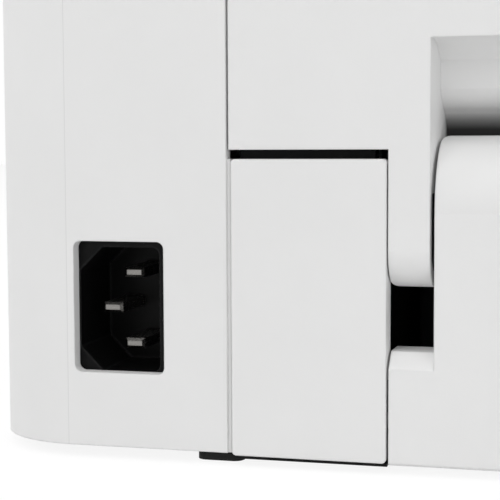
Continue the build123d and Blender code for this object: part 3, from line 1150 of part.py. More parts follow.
# Fuser: pressure roller below, heat roller above, and the frame that holds them
with BuildPart() as pressure_roller:
    turned([(LEFT_FRAME_X - FRAME_WALL, PATH_X - ROLLER_HALF, SHAFT_R),
            (PATH_X - ROLLER_HALF, PATH_X + ROLLER_HALF, PRESSURE_R),
            (PATH_X + ROLLER_HALF, RIGHT_FRAME_X + FRAME_WALL, SHAFT_R)], PRESSURE_Y, PRESSURE_Z)

with BuildPart() as heat_roller:
    turned([(LEFT_FRAME_X - FRAME_WALL, PATH_X - ROLLER_HALF, SHAFT_R),
            (PATH_X - ROLLER_HALF, PATH_X + ROLLER_HALF, HEAT_R),
            (PATH_X + ROLLER_HALF, GEAR_X + GEAR_WIDTH + SHAFT_END, SHAFT_R)], PRESSURE_Y, HEAT_Z)

with BuildPart() as fuser_frame:
    with BuildSketch(Plane.YZ.offset(PATH_X - FUSER_HALF)):
        with BuildLine():
            hood_end = HOOD_START + HOOD_SWEEP
            hood = CenterArc((PRESSURE_Y, HEAT_Z), HEAT_R + HOOD_GAP + HOOD_WALL, HOOD_START, HOOD_SWEEP)
            hood_inner = CenterArc((PRESSURE_Y, HEAT_Z), HEAT_R + HOOD_GAP, hood_end, -HOOD_SWEEP)
            Line(hood @ 1, hood_inner @ 0)
            Line(hood_inner @ 1, hood @ 0)
        make_face()
    extrude(amount=2 * FUSER_HALF)
    for side in (-1, 1):
        cheek = sorted((PATH_X + side * (ROLLER_HALF + ROLLER_END_GAP), PATH_X + side * FUSER_HALF))
        with BuildSketch(Plane.YZ.offset(cheek[0])):
            cheek_top = HEAT_Z + HEAT_R
            with Locations((PRESSURE_Y, (RAIL_TOP + cheek_top) / 2)):
                RectangleRounded(FUSER_CHEEK_LENGTH, cheek_top - RAIL_TOP, FUSER_CHEEK_R)
            with Locations((PRESSURE_Y, PRESSURE_Z), (PRESSURE_Y, HEAT_Z)):
                Circle(SHAFT_R + SHAFT_CLEARANCE, mode=Mode.SUBTRACT)
        extrude(amount=cheek[1] - cheek[0])

# Curved guide that carries the sheet up from the fuser to the exit rollers
with BuildPart() as rear_paper_guide:
    guide_rear = FRAME_REAR - PAPER_GUIDE_GAP
    guide_inside = guide_rear - PAPER_GUIDE_WALL
    guide_foot = PRESSURE_Z + PAPER_GUIDE_RISE
    with BuildSketch(Plane.YZ.offset(PATH_X - ROLLER_HALF)):
        with BuildLine():
            bend_centre = (guide_rear - PAPER_GUIDE_R, EXIT_Z - PAPER_GUIDE_DROP)
            outer_turn = CenterArc(bend_centre, PAPER_GUIDE_R, 0, PAPER_GUIDE_BEND)
            inner_turn = CenterArc(bend_centre, PAPER_GUIDE_R - PAPER_GUIDE_WALL, PAPER_GUIDE_BEND,
                                   -PAPER_GUIDE_BEND)
            Line(inner_turn @ 0, outer_turn @ 1)
            Polyline(outer_turn @ 0, (guide_rear, guide_foot), (guide_inside, guide_foot), inner_turn @ 1)
        make_face()
    extrude(amount=2 * ROLLER_HALF)
    for side in (-1, 1):
        arm = sorted((PATH_X + side * ROLLER_HALF, PATH_X + side * FUSER_HALF))
        block(arm, (guide_inside, guide_rear), (guide_foot, FRAME_TOP))

# Drive: bracket, motor, pinion, idler and the gears on the drum and the fuser
with BuildPart() as drive_bracket:
    with BuildSketch(Plane.YZ.offset(BRACKET_X)):
        with Locations((IDLER_Y, IDLER_Z + BRACKET_RISE)):
            RectangleRounded(BRACKET_LENGTH, BRACKET_HEIGHT, BRACKET_R)
        with Locations((PINION_Y, PINION_Z)):
            Circle(MOTOR_SHAFT_R + MOTOR_HOLE_GAP, mode=Mode.SUBTRACT)
    extrude(amount=FRAME_WALL)
    with BuildSketch(Plane.YZ.offset(RIGHT_FRAME_X + FRAME_WALL)):
        with Locations((IDLER_Y - STUD_SPREAD, IDLER_Z + STUD_UPPER), (IDLER_Y + STUD_SPREAD, IDLER_Z + STUD_UPPER),
                       (IDLER_Y, IDLER_Z - STUD_LOWER)):
            Circle(STUD_R)
    extrude(amount=BRACKET_STANDOFF)
    turned([(RIGHT_FRAME_X + FRAME_WALL, BRACKET_X + FRAME_WALL, STUD_R)], IDLER_Y, IDLER_Z)

with BuildPart() as drive_motor:
    motor_x = BRACKET_X + FRAME_WALL
    flange_x = motor_x + MOTOR_FLANGE_WALL
    turned([(motor_x, flange_x, MOTOR_R + MOTOR_FLANGE), (flange_x, motor_x + MOTOR_LENGTH, MOTOR_R)],
           PINION_Y, PINION_Z)

with BuildPart() as motor_pinion:
    pinion_plane = Plane((GEAR_X, PINION_Y, PINION_Z), x_dir=(0, 1, 0), z_dir=(1, 0, 0))
    extrude(gear_outline(pinion_plane, PINION_TEETH, PINION_PHASE, MOTOR_SHAFT_R), amount=GEAR_WIDTH)
    turned([(GEAR_X, BRACKET_X + FRAME_WALL - RUNNING_GAP, MOTOR_SHAFT_R)], PINION_Y, PINION_Z)

with BuildPart() as idler_gear:
    idler_plane = Plane((GEAR_X, IDLER_Y, IDLER_Z), x_dir=(0, 1, 0), z_dir=(1, 0, 0))
    extrude(gear_outline(idler_plane, IDLER_TEETH, 0, STUD_R + SHAFT_CLEARANCE), amount=GEAR_WIDTH)

with BuildPart() as drum_gear:
    drum_plane = Plane((GEAR_X, DRUM_Y, DRUM_Z), x_dir=(0, 1, 0), z_dir=(1, 0, 0))
    extrude(gear_outline(drum_plane, DRIVEN_TEETH, DRUM_PHASE, SHAFT_R), amount=GEAR_WIDTH)

with BuildPart() as fuser_gear:
    fuser_plane = Plane((GEAR_X, PRESSURE_Y, HEAT_Z), x_dir=(0, 1, 0), z_dir=(1, 0, 0))
    extrude(gear_outline(fuser_plane, DRIVEN_TEETH, FUSER_PHASE, SHAFT_R), amount=GEAR_WIDTH)

# Power supply board under the inlet, with its larger parts
with BuildPart() as power_supply_board:
    supply_inner = RIGHT_FRAME_X + SUPPLY_INNER_GAP
    supply_outer = SIDE_X - WALL - SUPPLY_OUTER_GAP
    supply_rear = INLET_FACE - INLET_DEPTH - SUPPLY_LEG_INSET
    supply_z = BASE_TOP + SUPPLY_RISE
    block((supply_inner, supply_outer), (SUPPLY_FRONT, supply_rear), (supply_z, supply_z + BOARD_WALL))
    for leg_x in (supply_inner + SUPPLY_LEG_INSET, supply_outer - SUPPLY_LEG_INSET):
        for leg_y in (SUPPLY_FRONT + SUPPLY_LEG_INSET, supply_rear - SUPPLY_LEG_INSET):
            with Locations((leg_x, leg_y, (BASE_TOP + supply_z) / 2)):
                Cylinder(LEG_R, SUPPLY_RISE)
    part_z = supply_z + BOARD_WALL
    part_x = (supply_inner + supply_outer) / 2
    block(about(part_x, TRANSFORMER / 2), about(PRESSURE_Y - TRANSFORMER, TRANSFORMER / 2),
          (part_z, part_z + TRANSFORMER_HEIGHT))
    with Locations((part_x - CAPACITOR_R - CAPACITOR_GAP, DRUM_Y, part_z + CAPACITOR_HEIGHT / 2),
                   (part_x + CAPACITOR_R + CAPACITOR_GAP, DRUM_Y, part_z + CAPACITOR_HEIGHT / 2)):
        Cylinder(CAPACITOR_R, CAPACITOR_HEIGHT)
    block(about(part_x, HEAT_SINK_WALL / 2), about(REGISTRATION_Y + HEAT_SINK_LENGTH, HEAT_SINK_LENGTH / 2),
          (part_z, part_z + HEAT_SINK_HEIGHT))

# Controller board, standing behind the left side cover, and its two ports
with BuildPart() as controller_board:
    chip_x = CONTROLLER_X + BOARD_WALL
    controller_rear = INLET_FACE - CONTROLLER_GAP
    controller_y = (CONTROLLER_FRONT + controller_rear) / 2
    controller_z = (CONTROLLER_BOTTOM + CONTROLLER_TOP) / 2
    leg_end = LEFT_FRAME_X - FRAME_WALL
    block((CONTROLLER_X, chip_x), (CONTROLLER_FRONT, controller_rear), (CONTROLLER_BOTTOM, CONTROLLER_TOP))
    for leg_y in (CONTROLLER_FRONT + CONTROLLER_LEG_INSET, FRAME_REAR - CONTROLLER_LEG_INSET):
        for leg_z in (CONTROLLER_BOTTOM + CONTROLLER_LEG_INSET, CONTROLLER_TOP - CONTROLLER_LEG_INSET):
            turned([(chip_x, leg_end, LEG_R)], leg_y, leg_z)
    block((chip_x, chip_x + CHIP_WALL), about(controller_y - CHIP, CHIP / 2), about(controller_z, CHIP / 2))
    block((chip_x, chip_x + MEMORY_WALL), about(controller_y + MEMORY_LENGTH / 2, MEMORY_LENGTH / 2),
          about(controller_z, MEMORY_HEIGHT / 2))


def port(width, height, depth, middle_z):
    """Metal shell of a socket on the controller board, open to the rear."""
    with BuildPart() as shell:
        shell_x = CONTROLLER_X + BOARD_WALL + width / 2
        with BuildSketch(Plane.XZ.offset(-INLET_FACE)):
            with Locations((shell_x, middle_z)):
                RectangleRounded(width, height, SOCKET_R)
        extrude(amount=depth)
        with BuildSketch(Plane.XZ.offset(-INLET_FACE)):
            with Locations((shell_x, middle_z)):
                Rectangle(width - 2 * SOCKET_WALL, height - 2 * SOCKET_WALL)
        extrude(amount=depth - SOCKET_WALL, mode=Mode.SUBTRACT)
    return shell


usb_port = port(USB_WIDTH, USB_HEIGHT, USB_DEPTH, USB_Z)
network_port = port(NETWORK_WIDTH, NETWORK_HEIGHT, NETWORK_DEPTH, NETWORK_Z)

# Cooling fan behind the vent of the left side cover
with BuildPart() as fan_frame:
    fan_x = -SIDE_X + WALL
    with BuildSketch(Plane.YZ.offset(fan_x)):
        with Locations((FAN_Y, FAN_Z)):
            RectangleRounded(FAN_SIZE, FAN_SIZE, FAN_FRAME_R)
            Circle(FAN_BORE, mode=Mode.SUBTRACT)
    extrude(amount=FAN_DEPTH)
    with BuildSketch(Plane.YZ.offset(fan_x + FAN_DEPTH - FAN_SPOKE_WALL)):
        with Locations((FAN_Y, FAN_Z)):
            Circle(FAN_HUB_R)
            with PolarLocations(0, 3, start_angle=90):
                with Locations((FAN_BORE / 2, 0)):
                    Rectangle(FAN_BORE + FAN_SPOKE_WALL, FAN_SPOKE)
    extrude(amount=FAN_SPOKE_WALL)
    turned([(fan_x + FAN_FRAME_R, fan_x + FAN_DEPTH - FAN_SPOKE_WALL / 2, FAN_SHAFT_R)], FAN_Y, FAN_Z)

with BuildPart() as fan_rotor:
    rotor_x = fan_x + FAN_RECESS
    rotor_depth = FAN_DEPTH - FAN_SPOKE_WALL - FAN_RECESS - RUNNING_GAP
    turned([(rotor_x, rotor_x + rotor_depth, FAN_HUB_R)], FAN_Y, FAN_Z)
    for blade in range(FAN_BLADES):
        blade_angle = 2 * math.pi * blade / FAN_BLADES
        blade_plane = Plane((rotor_x + rotor_depth / 2, FAN_Y, FAN_Z), x_dir=(1, 0, 0),
                            z_dir=(0, math.cos(blade_angle), math.sin(blade_angle)))
        with BuildSketch(blade_plane.offset(FAN_HUB_R / 2)):
            Rectangle(rotor_depth - FAN_BLADE_WALL, FAN_BLADE_WALL, rotation=FAN_BLADE_TILT)
        extrude(amount=FAN_TIP_R - FAN_HUB_R / 2)
    turned([(fan_x + FAN_FRAME_R - RUNNING_GAP, rotor_x + rotor_depth, FAN_SHAFT_R + SHAFT_CLEARANCE)],
           FAN_Y, FAN_Z, Mode.SUBTRACT)

# Top cover, with the output tray that slopes down to the exit slot
tray_slope = math.atan2(OUTPUT_HIGH - OUTPUT_LOW, OUTPUT_REAR - OUTPUT_FRONT)
stopper_z = OUTPUT_HIGH + (OUTPUT_FRONT - STOPPER_Y) * math.tan(tray_slope)
stopper_plane = Plane((PATH_X, STOPPER_Y, stopper_z), x_dir=(1, 0, 0),
                      z_dir=(0, math.sin(tray_slope), math.cos(tray_slope)))
stopper_axis = stopper_plane.from_local_coords(Vector(0, STOPPER_PIN_R, -STOPPER_PIN_DROP))
with BuildPart() as top_cover:
    with BuildSketch(Plane.XY.offset(COVER_TOP + SEAM)):
        RectangleRounded(WIDTH, DEPTH, CORNER_R)
    extrude(amount=HEIGHT - COVER_TOP - SEAM)
    fillet(top_cover.faces().sort_by(Axis.Z)[-1].edges(), ROOF_FILLET)
    with BuildSketch(Plane.XY.offset(COVER_TOP + SEAM)):
        RectangleRounded(WIDTH - 2 * WALL, DEPTH - 2 * WALL, CORNER_R - WALL)
    extrude(amount=HEIGHT - COVER_TOP - SEAM - ROOF_FILLET, mode=Mode.SUBTRACT)
    with BuildSketch(Plane.XY.offset(HEIGHT - ROOF_FILLET)):
        RectangleRounded(WIDTH - 2 * ROOF_FILLET, DEPTH - 2 * ROOF_FILLET, CORNER_R - ROOF_FILLET)
    extrude(amount=ROOF_FILLET - COVER_ROOF, mode=Mode.SUBTRACT)
    with BuildSketch(Plane.YZ.offset(PATH_X - OUTPUT_HALF - OUTPUT_WALL)):
        with BuildLine():
            wall_top = HEIGHT - COVER_ROOF / 2
            Polyline((OUTPUT_REAR + OUTPUT_WALL, wall_top), (OUTPUT_REAR + OUTPUT_WALL, OUTPUT_LOW - OUTPUT_WALL),
                     (OUTPUT_FRONT, OUTPUT_HIGH - OUTPUT_WALL),
                     (OUTPUT_FRONT - OUTPUT_LEAD - OUTPUT_WALL, wall_top), close=True)
        make_face()
    extrude(amount=2 * (OUTPUT_HALF + OUTPUT_WALL))
    with BuildSketch(Plane.YZ.offset(PATH_X - OUTPUT_HALF)):
        with BuildLine():
            Polyline((OUTPUT_REAR, HEIGHT), (OUTPUT_REAR, OUTPUT_LOW), (OUTPUT_FRONT, OUTPUT_HIGH),
                     (OUTPUT_FRONT - OUTPUT_LEAD, HEIGHT), close=True)
        make_face()
    extrude(amount=2 * OUTPUT_HALF, mode=Mode.SUBTRACT)
    block(about(PATH_X, EXIT_SLOT_HALF), about(OUTPUT_REAR, 2 * OUTPUT_WALL),
          (EXIT_SLOT_BOTTOM, EXIT_SLOT_TOP), mode=Mode.SUBTRACT)
    with BuildSketch(Plane.XY.offset(HEIGHT)):
        with Locations((PANEL_PLATE_X, PANEL_PLATE_Y)):
            RectangleRounded(PANEL_PLATE_WIDTH + 2 * BUTTON_GAP, PANEL_PLATE_LENGTH + 2 * BUTTON_GAP, PANEL_PLATE_R)
    extrude(amount=-PANEL_PLATE_SINK - PANEL_PLATE_WALL, mode=Mode.SUBTRACT)
    with BuildSketch(Plane.XY.offset(HEIGHT)):
        with Locations((PANEL_PLATE_X, PANEL_PLATE_Y)):
            RectangleRounded(PANEL_PLATE_WIDTH - 2 * PANEL_PLATE_LEDGE, PANEL_PLATE_LENGTH - 2 * PANEL_PLATE_LEDGE,
                             PANEL_PLATE_R - PANEL_PLATE_LEDGE / 2)
    extrude(amount=-COVER_ROOF, mode=Mode.SUBTRACT)
    with BuildSketch(stopper_plane):
        with Locations((-STOPPER_HALF - STOPPER_GAP - STOPPER_LUG / 2, STOPPER_PIN_DROP / 2),
                       (STOPPER_HALF + STOPPER_GAP + STOPPER_LUG / 2, STOPPER_PIN_DROP / 2)):
            Rectangle(STOPPER_LUG, 3 * STOPPER_PIN_DROP)
    extrude(amount=-2 * STOPPER_PIN_DROP)
    with BuildSketch(stopper_plane):
        with Locations((0, (STOPPER_LENGTH - STOPPER_PIN_DROP) / 2)):
            Rectangle(2 * (STOPPER_HALF + STOPPER_GAP), STOPPER_LENGTH + STOPPER_PIN_DROP + 2 * STOPPER_GAP)
    extrude(amount=-3 * STOPPER_PIN_DROP, mode=Mode.SUBTRACT)
    turned([(PATH_X - 2 * STOPPER_HALF, PATH_X + 2 * STOPPER_HALF, STOPPER_PIN_R + PIN_CLEARANCE)],
           stopper_axis.Y, stopper_axis.Z, Mode.SUBTRACT)

# Flip-up stopper at the front end of the output tray
with BuildPart() as output_stopper:
    with BuildSketch(stopper_plane):
        with Locations((0, STOPPER_LENGTH / 2)):
            RectangleRounded(2 * STOPPER_HALF, STOPPER_LENGTH, STOPPER_R)
    extrude(amount=-STOPPER_WALL)
    with BuildSketch(stopper_plane):
        with Locations((0, STOPPER_PIN_DROP / 2)):
            Rectangle(2 * STOPPER_HALF, STOPPER_PIN_DROP)
    extrude(amount=-STOPPER_PIN_DROP)
    turned([(PATH_X - STOPPER_HALF - STOPPER_LUG, PATH_X + STOPPER_HALF + STOPPER_LUG, STOPPER_PIN_R)],
           stopper_axis.Y, stopper_axis.Z)

# Control panel let into the top cover, with its buttons and lights
button_places = [(PANEL_PLATE_X, PANEL_PLATE_Y + step * BUTTON_PITCH) for step in (-1, 0, 1)]
light_places = [(PANEL_PLATE_X + LIGHT_OFFSET, y) for x, y in button_places]
with BuildPart() as control_panel:
    with BuildSketch(Plane.XY.offset(PANEL_PLATE_TOP)):
        with Locations((PANEL_PLATE_X, PANEL_PLATE_Y)):
            RectangleRounded(PANEL_PLATE_WIDTH, PANEL_PLATE_LENGTH, PANEL_PLATE_R)
        with Locations(*button_places):
            Circle(BUTTON_R + BUTTON_GAP, mode=Mode.SUBTRACT)
        with Locations(*light_places):
            Circle(LIGHT_R, mode=Mode.SUBTRACT)
    extrude(amount=-PANEL_PLATE_WALL)

with BuildPart() as light_pipes:
    pipe_bottom = PANEL_PLATE_TOP - PANEL_PLATE_WALL
    with BuildSketch(Plane.XY.offset(PANEL_PLATE_TOP)):
        with Locations(*light_places):
            Circle(LIGHT_R)
    extrude(amount=-PANEL_PLATE_WALL)
    block(about(PANEL_PLATE_X + LIGHT_OFFSET, LIGHT_R), about(PANEL_PLATE_Y, BUTTON_PITCH + LIGHT_R),
          (pipe_bottom - LIGHT_BAR, pipe_bottom))


def panel_button(place, dish_r):
    """Round push button with a shallow dish in its top and a retaining rim below the plate."""
    with BuildPart() as button:
        button_top = PANEL_PLATE_TOP + BUTTON_PROUD
        with BuildSketch(Plane.XY.offset(button_top)):
            with Locations(place):
                Circle(BUTTON_R)
        extrude(amount=-BUTTON_LENGTH)
        with BuildSketch(Plane.XY.offset(PANEL_PLATE_TOP - PANEL_PLATE_WALL - RUNNING_GAP)):
            with Locations(place):
                Circle(BUTTON_R + BUTTON_RIM)
        extrude(amount=-BUTTON_RIM_WALL)
        with BuildSketch(Plane.XY.offset(button_top)):
            with Locations(place):
                Circle(dish_r)
        extrude(amount=-BUTTON_DISH, mode=Mode.SUBTRACT)
        fillet(button.faces().sort_by(Axis.Z)[-1].outer_wire().edges(), BUTTON_EDGE)
    return button


power_button = panel_button(button_places[0], POWER_DISH_R)
wireless_button = panel_button(button_places[1], OTHER_DISH_R)
resume_button = panel_button(button_places[2], OTHER_DISH_R)

os.makedirs("parts", exist_ok=True)
base_frame.part.label = "base_frame"
export_step(base_frame.part, "parts/base_frame.step")
rubber_feet.part.label = "rubber_feet"
export_step(rubber_feet.part, "parts/rubber_feet.step")
right_side_cover.part.label = "right_side_cover"
export_step(right_side_cover.part, "parts/right_side_cover.step")
left_side_cover.part.label = "left_side_cover"
export_step(left_side_cover.part, "parts/left_side_cover.step")
rear_upper_cover.part.label = "rear_upper_cover"
export_step(rear_upper_cover.part, "parts/rear_upper_cover.step")
service_panel.part.label = "service_panel"
export_step(service_panel.part, "parts/service_panel.step")
rear_door.part.label = "rear_door"
export_step(rear_door.part, "parts/rear_door.step")
rear_door_guide.part.label = "rear_door_guide"
export_step(rear_door_guide.part, "parts/rear_door_guide.step")
power_inlet.part.label = "power_inlet"
export_step(power_inlet.part, "parts/power_inlet.step")
inlet_pins.part.label = "inlet_pins"
export_step(inlet_pins.part, "parts/inlet_pins.step")
front_cover.part.label = "front_cover"
export_step(front_cover.part, "parts/front_cover.step")
front_cover_liner.part.label = "front_cover_liner"
export_step(front_cover_liner.part, "parts/front_cover_liner.step")
cassette_front.part.label = "cassette_front"
export_step(cassette_front.part, "parts/cassette_front.step")
cassette_tray.part.label = "cassette_tray"
export_step(cassette_tray.part, "parts/cassette_tray.step")
separation_pad.part.label = "separation_pad"
export_step(separation_pad.part, "parts/separation_pad.step")
lift_plate.part.label = "lift_plate"
export_step(lift_plate.part, "parts/lift_plate.step")
right_width_guide.part.label = "right_width_guide"
export_step(right_width_guide.part, "parts/right_width_guide.step")
left_width_guide.part.label = "left_width_guide"
export_step(left_width_guide.part, "parts/left_width_guide.step")
guide_pinion.part.label = "guide_pinion"
export_step(guide_pinion.part, "parts/guide_pinion.step")
length_guide.part.label = "length_guide"
export_step(length_guide.part, "parts/length_guide.step")
right_side_frame.part.label = "right_side_frame"
export_step(right_side_frame.part, "parts/right_side_frame.step")
left_side_frame.part.label = "left_side_frame"
export_step(left_side_frame.part, "parts/left_side_frame.step")
scanner_stay.part.label = "scanner_stay"
export_step(scanner_stay.part, "parts/scanner_stay.step")
scanner_housing.part.label = "scanner_housing"
export_step(scanner_housing.part, "parts/scanner_housing.step")
scanner_lid.part.label = "scanner_lid"
export_step(scanner_lid.part, "parts/scanner_lid.step")
scanner_lens.part.label = "scanner_lens"
export_step(scanner_lens.part, "parts/scanner_lens.step")
polygon_mirror.part.label = "polygon_mirror"
export_step(polygon_mirror.part, "parts/polygon_mirror.step")
toner_cartridge.part.label = "toner_cartridge"
export_step(toner_cartridge.part, "parts/toner_cartridge.step")
photosensitive_drum.part.label = "photosensitive_drum"
export_step(photosensitive_drum.part, "parts/photosensitive_drum.step")
transfer_roller.part.label = "transfer_roller"
export_step(transfer_roller.part, "parts/transfer_roller.step")
pickup_shaft.part.label = "pickup_shaft"
export_step(pickup_shaft.part, "parts/pickup_shaft.step")
pickup_roller.part.label = "pickup_roller"
export_step(pickup_roller.part, "parts/pickup_roller.step")
registration_roller.part.label = "registration_roller"
export_step(registration_roller.part, "parts/registration_roller.step")
exit_roller.part.label = "exit_roller"
export_step(exit_roller.part, "parts/exit_roller.step")
pressure_roller.part.label = "pressure_roller"
export_step(pressure_roller.part, "parts/pressure_roller.step")
heat_roller.part.label = "heat_roller"
export_step(heat_roller.part, "parts/heat_roller.step")
fuser_frame.part.label = "fuser_frame"
export_step(fuser_frame.part, "parts/fuser_frame.step")
rear_paper_guide.part.label = "rear_paper_guide"
export_step(rear_paper_guide.part, "parts/rear_paper_guide.step")
drive_bracket.part.label = "drive_bracket"
export_step(drive_bracket.part, "parts/drive_bracket.step")
drive_motor.part.label = "drive_motor"
export_step(drive_motor.part, "parts/drive_motor.step")
motor_pinion.part.label = "motor_pinion"
export_step(motor_pinion.part, "parts/motor_pinion.step")
idler_gear.part.label = "idler_gear"
export_step(idler_gear.part, "parts/idler_gear.step")
drum_gear.part.label = "drum_gear"
export_step(drum_gear.part, "parts/drum_gear.step")
fuser_gear.part.label = "fuser_gear"
export_step(fuser_gear.part, "parts/fuser_gear.step")
power_supply_board.part.label = "power_supply_board"
export_step(power_supply_board.part, "parts/power_supply_board.step")
controller_board.part.label = "controller_board"
export_step(controller_board.part, "parts/controller_board.step")
usb_port.part.label = "usb_port"
export_step(usb_port.part, "parts/usb_port.step")
network_port.part.label = "network_port"
export_step(network_port.part, "parts/network_port.step")
fan_frame.part.label = "fan_frame"
export_step(fan_frame.part, "parts/fan_frame.step")
fan_rotor.part.label = "fan_rotor"
export_step(fan_rotor.part, "parts/fan_rotor.step")
top_cover.part.label = "top_cover"
export_step(top_cover.part, "parts/top_cover.step")
output_stopper.part.label = "output_stopper"
export_step(output_stopper.part, "parts/output_stopper.step")
control_panel.part.label = "control_panel"
export_step(control_panel.part, "parts/control_panel.step")
light_pipes.part.label = "light_pipes"
export_step(light_pipes.part, "parts/light_pipes.step")
power_button.part.label = "power_button"
export_step(power_button.part, "parts/power_button.step")
wireless_button.part.label = "wireless_button"
export_step(wireless_button.part, "parts/wireless_button.step")
resume_button.part.label = "resume_button"
export_step(resume_button.part, "parts/resume_button.step")
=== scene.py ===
import json
import math

import bmesh
import bpy
from mathutils import Matrix, Vector


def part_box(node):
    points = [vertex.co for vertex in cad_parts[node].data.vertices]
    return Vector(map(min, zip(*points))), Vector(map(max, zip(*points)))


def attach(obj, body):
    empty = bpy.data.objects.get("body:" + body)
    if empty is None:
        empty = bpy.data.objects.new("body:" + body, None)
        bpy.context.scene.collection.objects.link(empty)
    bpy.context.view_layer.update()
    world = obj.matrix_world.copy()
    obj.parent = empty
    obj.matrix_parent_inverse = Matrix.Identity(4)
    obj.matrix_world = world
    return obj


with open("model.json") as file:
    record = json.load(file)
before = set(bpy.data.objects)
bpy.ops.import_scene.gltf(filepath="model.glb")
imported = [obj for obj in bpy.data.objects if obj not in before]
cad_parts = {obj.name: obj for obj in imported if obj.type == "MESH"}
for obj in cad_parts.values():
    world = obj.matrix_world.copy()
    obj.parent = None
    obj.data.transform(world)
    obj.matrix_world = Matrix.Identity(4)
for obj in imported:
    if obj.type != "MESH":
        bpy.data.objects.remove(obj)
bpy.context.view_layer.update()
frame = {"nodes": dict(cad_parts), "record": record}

MM = 0.001
bpy.context.scene.view_settings.view_transform = "Standard"
nodes = frame["nodes"]

# Camera: fitted to the straight edges of the rear face
LENS = 100.8
SENSOR_WIDTH = 36.0
NEAREST_SEEN = 0.01
CAMERA_PLACE = Vector((65.09, 438.32, 61.89)) * MM
CAMERA_YAW = math.radians(-15.132)
CAMERA_PITCH = math.radians(4.5)
CAMERA_ROLL = math.radians(0.255)


def make_camera():
    data = bpy.data.cameras.new("camera")
    data.lens = LENS
    data.sensor_width = SENSOR_WIDTH
    data.clip_start = NEAREST_SEEN
    camera = bpy.data.objects.new("camera", data)
    bpy.context.scene.collection.objects.link(camera)
    looking_at_rear = Matrix(((-1, 0, 0), (0, 0, 1), (0, 1, 0)))
    roll = Matrix.Rotation(CAMERA_ROLL, 3, "Z")
    pitch = Matrix.Rotation(CAMERA_PITCH, 3, "X")
    yaw = Matrix.Rotation(CAMERA_YAW, 3, "Y")
    turn = roll @ pitch @ yaw
    camera.matrix_world = Matrix.Translation(CAMERA_PLACE) @ (looking_at_rear @ turn.transposed()).to_4x4()
    bpy.context.scene.camera = camera


make_camera()


# Materials

EDGE_SAMPLES = 4
EDGE_FULL_BELOW = 0.80
EDGE_NONE_ABOVE = 0.99
EDGE_PATCH_SIZE = 3 * MM
EDGE_PATCH_LEAST = 0.2
FLOW_SIZE = 22 * MM
FINISH_SPREAD = 0.04
EDGE_POLISH = 0.12
EDGE_LIGHTER = 1.04
DARK_EDGE_REACH = 0.7 * MM
SPANGLES_PER_METRE = 220.0
SPANGLE_WAVES = 1.2 * MM
BLOTCH_SIZE = 9 * MM
FOAM_CELLS_PER_METRE = 1600.0
TRACES_PER_METRE = 160.0
TRACE_WIDTH = 0.035
TRACE_SHIFT = 0.35
WIPE_SIZE = 6 * MM
GLOSS_WAVES = 30 * MM
STREAK_SIZE = 4 * MM

# Sockets of a mix node that carry its two colours and their mixture
MIX_UNDER = 6
MIX_OVER = 7
MIX_RESULT = 2


def principled(tree):
    return next(n for n in tree.nodes if n.type == "BSDF_PRINCIPLED")


def new_material(name):
    material = bpy.data.materials.new(name)
    material.use_nodes = True
    return material, material.node_tree, principled(material.node_tree)


def set_or_link(tree, target, value):
    if isinstance(value, bpy.types.NodeSocket):
        tree.links.new(value, target)
    else:
        target.default_value = value


def feed(tree, node, **inputs):
    """Give a node's inputs their values, or link them to what feeds them."""
    for key, value in inputs.items():
        set_or_link(tree, node.inputs[key.replace("_", " ")], value)


def add(tree, kind, **inputs):
    node = tree.nodes.new(kind)
    feed(tree, node, **inputs)
    return node


def worked_out(tree, operation, *values):
    """Result of an operation on numbers or sockets."""
    node = tree.nodes.new("ShaderNodeMath")
    node.operation = operation
    for target, value in zip(node.inputs, values):
        set_or_link(tree, target, value)
    return node.outputs[0]


def object_place(tree):
    """Place of a point in the object's own space."""
    return tree.nodes.new("ShaderNodeTexCoord").outputs["Object"]


def surface_noise(tree, size, detail=2.0, stretch=(1, 1, 1)):
    """Noise with features of about size, in metres, in the object's own space."""
    mapping = add(tree, "ShaderNodeMapping", Vector=object_place(tree), Scale=stretch)
    noise = add(tree, "ShaderNodeTexNoise", Vector=mapping.outputs["Vector"], Scale=1.0 / size, Detail=detail)
    return noise.outputs["Fac"]


def cell_pattern(tree, per_metre):
    return add(tree, "ShaderNodeTexVoronoi", Vector=object_place(tree), Scale=per_metre).outputs


def ranged(tree, value, low, high, from_low=0.3, from_high=0.7):
    node = add(tree, "ShaderNodeMapRange", Value=value, From_Min=from_low, From_Max=from_high,
               To_Min=low, To_Max=high)
    return node.outputs["Result"]


def two_tones(tree, value, dark, light, low=0.35, high=0.65):
    ramp = add(tree, "ShaderNodeValToRGB", Fac=value)
    for element, position, colour in zip(ramp.color_ramp.elements, (low, high), (dark, light)):
        element.position = position
        element.color = (*colour, 1)
    return ramp.outputs["Color"]


def bumped(tree, shader, value, depth, normal=None):
    bump = add(tree, "ShaderNodeBump", Strength=1.0, Distance=depth, Height=value)
    if normal:
        feed(tree, bump, Normal=normal)
    feed(tree, shader, Normal=bump.outputs["Normal"])


def shade(colour, factor):
    return tuple(min(1.0, c * factor) for c in colour)


def near_edges(tree, reach):
    """Share of the edge colour and finish, from zero on the faces to one along the edges and broken into
    patches, and the normal of a rounded edge.
    """
    rounded = add(tree, "ShaderNodeBevel", Radius=reach)
    rounded.samples = EDGE_SAMPLES
    surface = tree.nodes.new("ShaderNodeNewGeometry")
    likeness = tree.nodes.new("ShaderNodeVectorMath")
    likeness.operation = "DOT_PRODUCT"
    tree.links.new(rounded.outputs["Normal"], likeness.inputs[0])
    tree.links.new(surface.outputs["Normal"], likeness.inputs[1])
    edge = ranged(tree, likeness.outputs["Value"], 1.0, 0.0, EDGE_FULL_BELOW, EDGE_NONE_ABOVE)
    patches = ranged(tree, surface_noise(tree, EDGE_PATCH_SIZE, detail=4.0), EDGE_PATCH_LEAST, 1.0, 0.35, 0.65)
    return worked_out(tree, "MULTIPLY", edge, patches), rounded.outputs["Normal"]


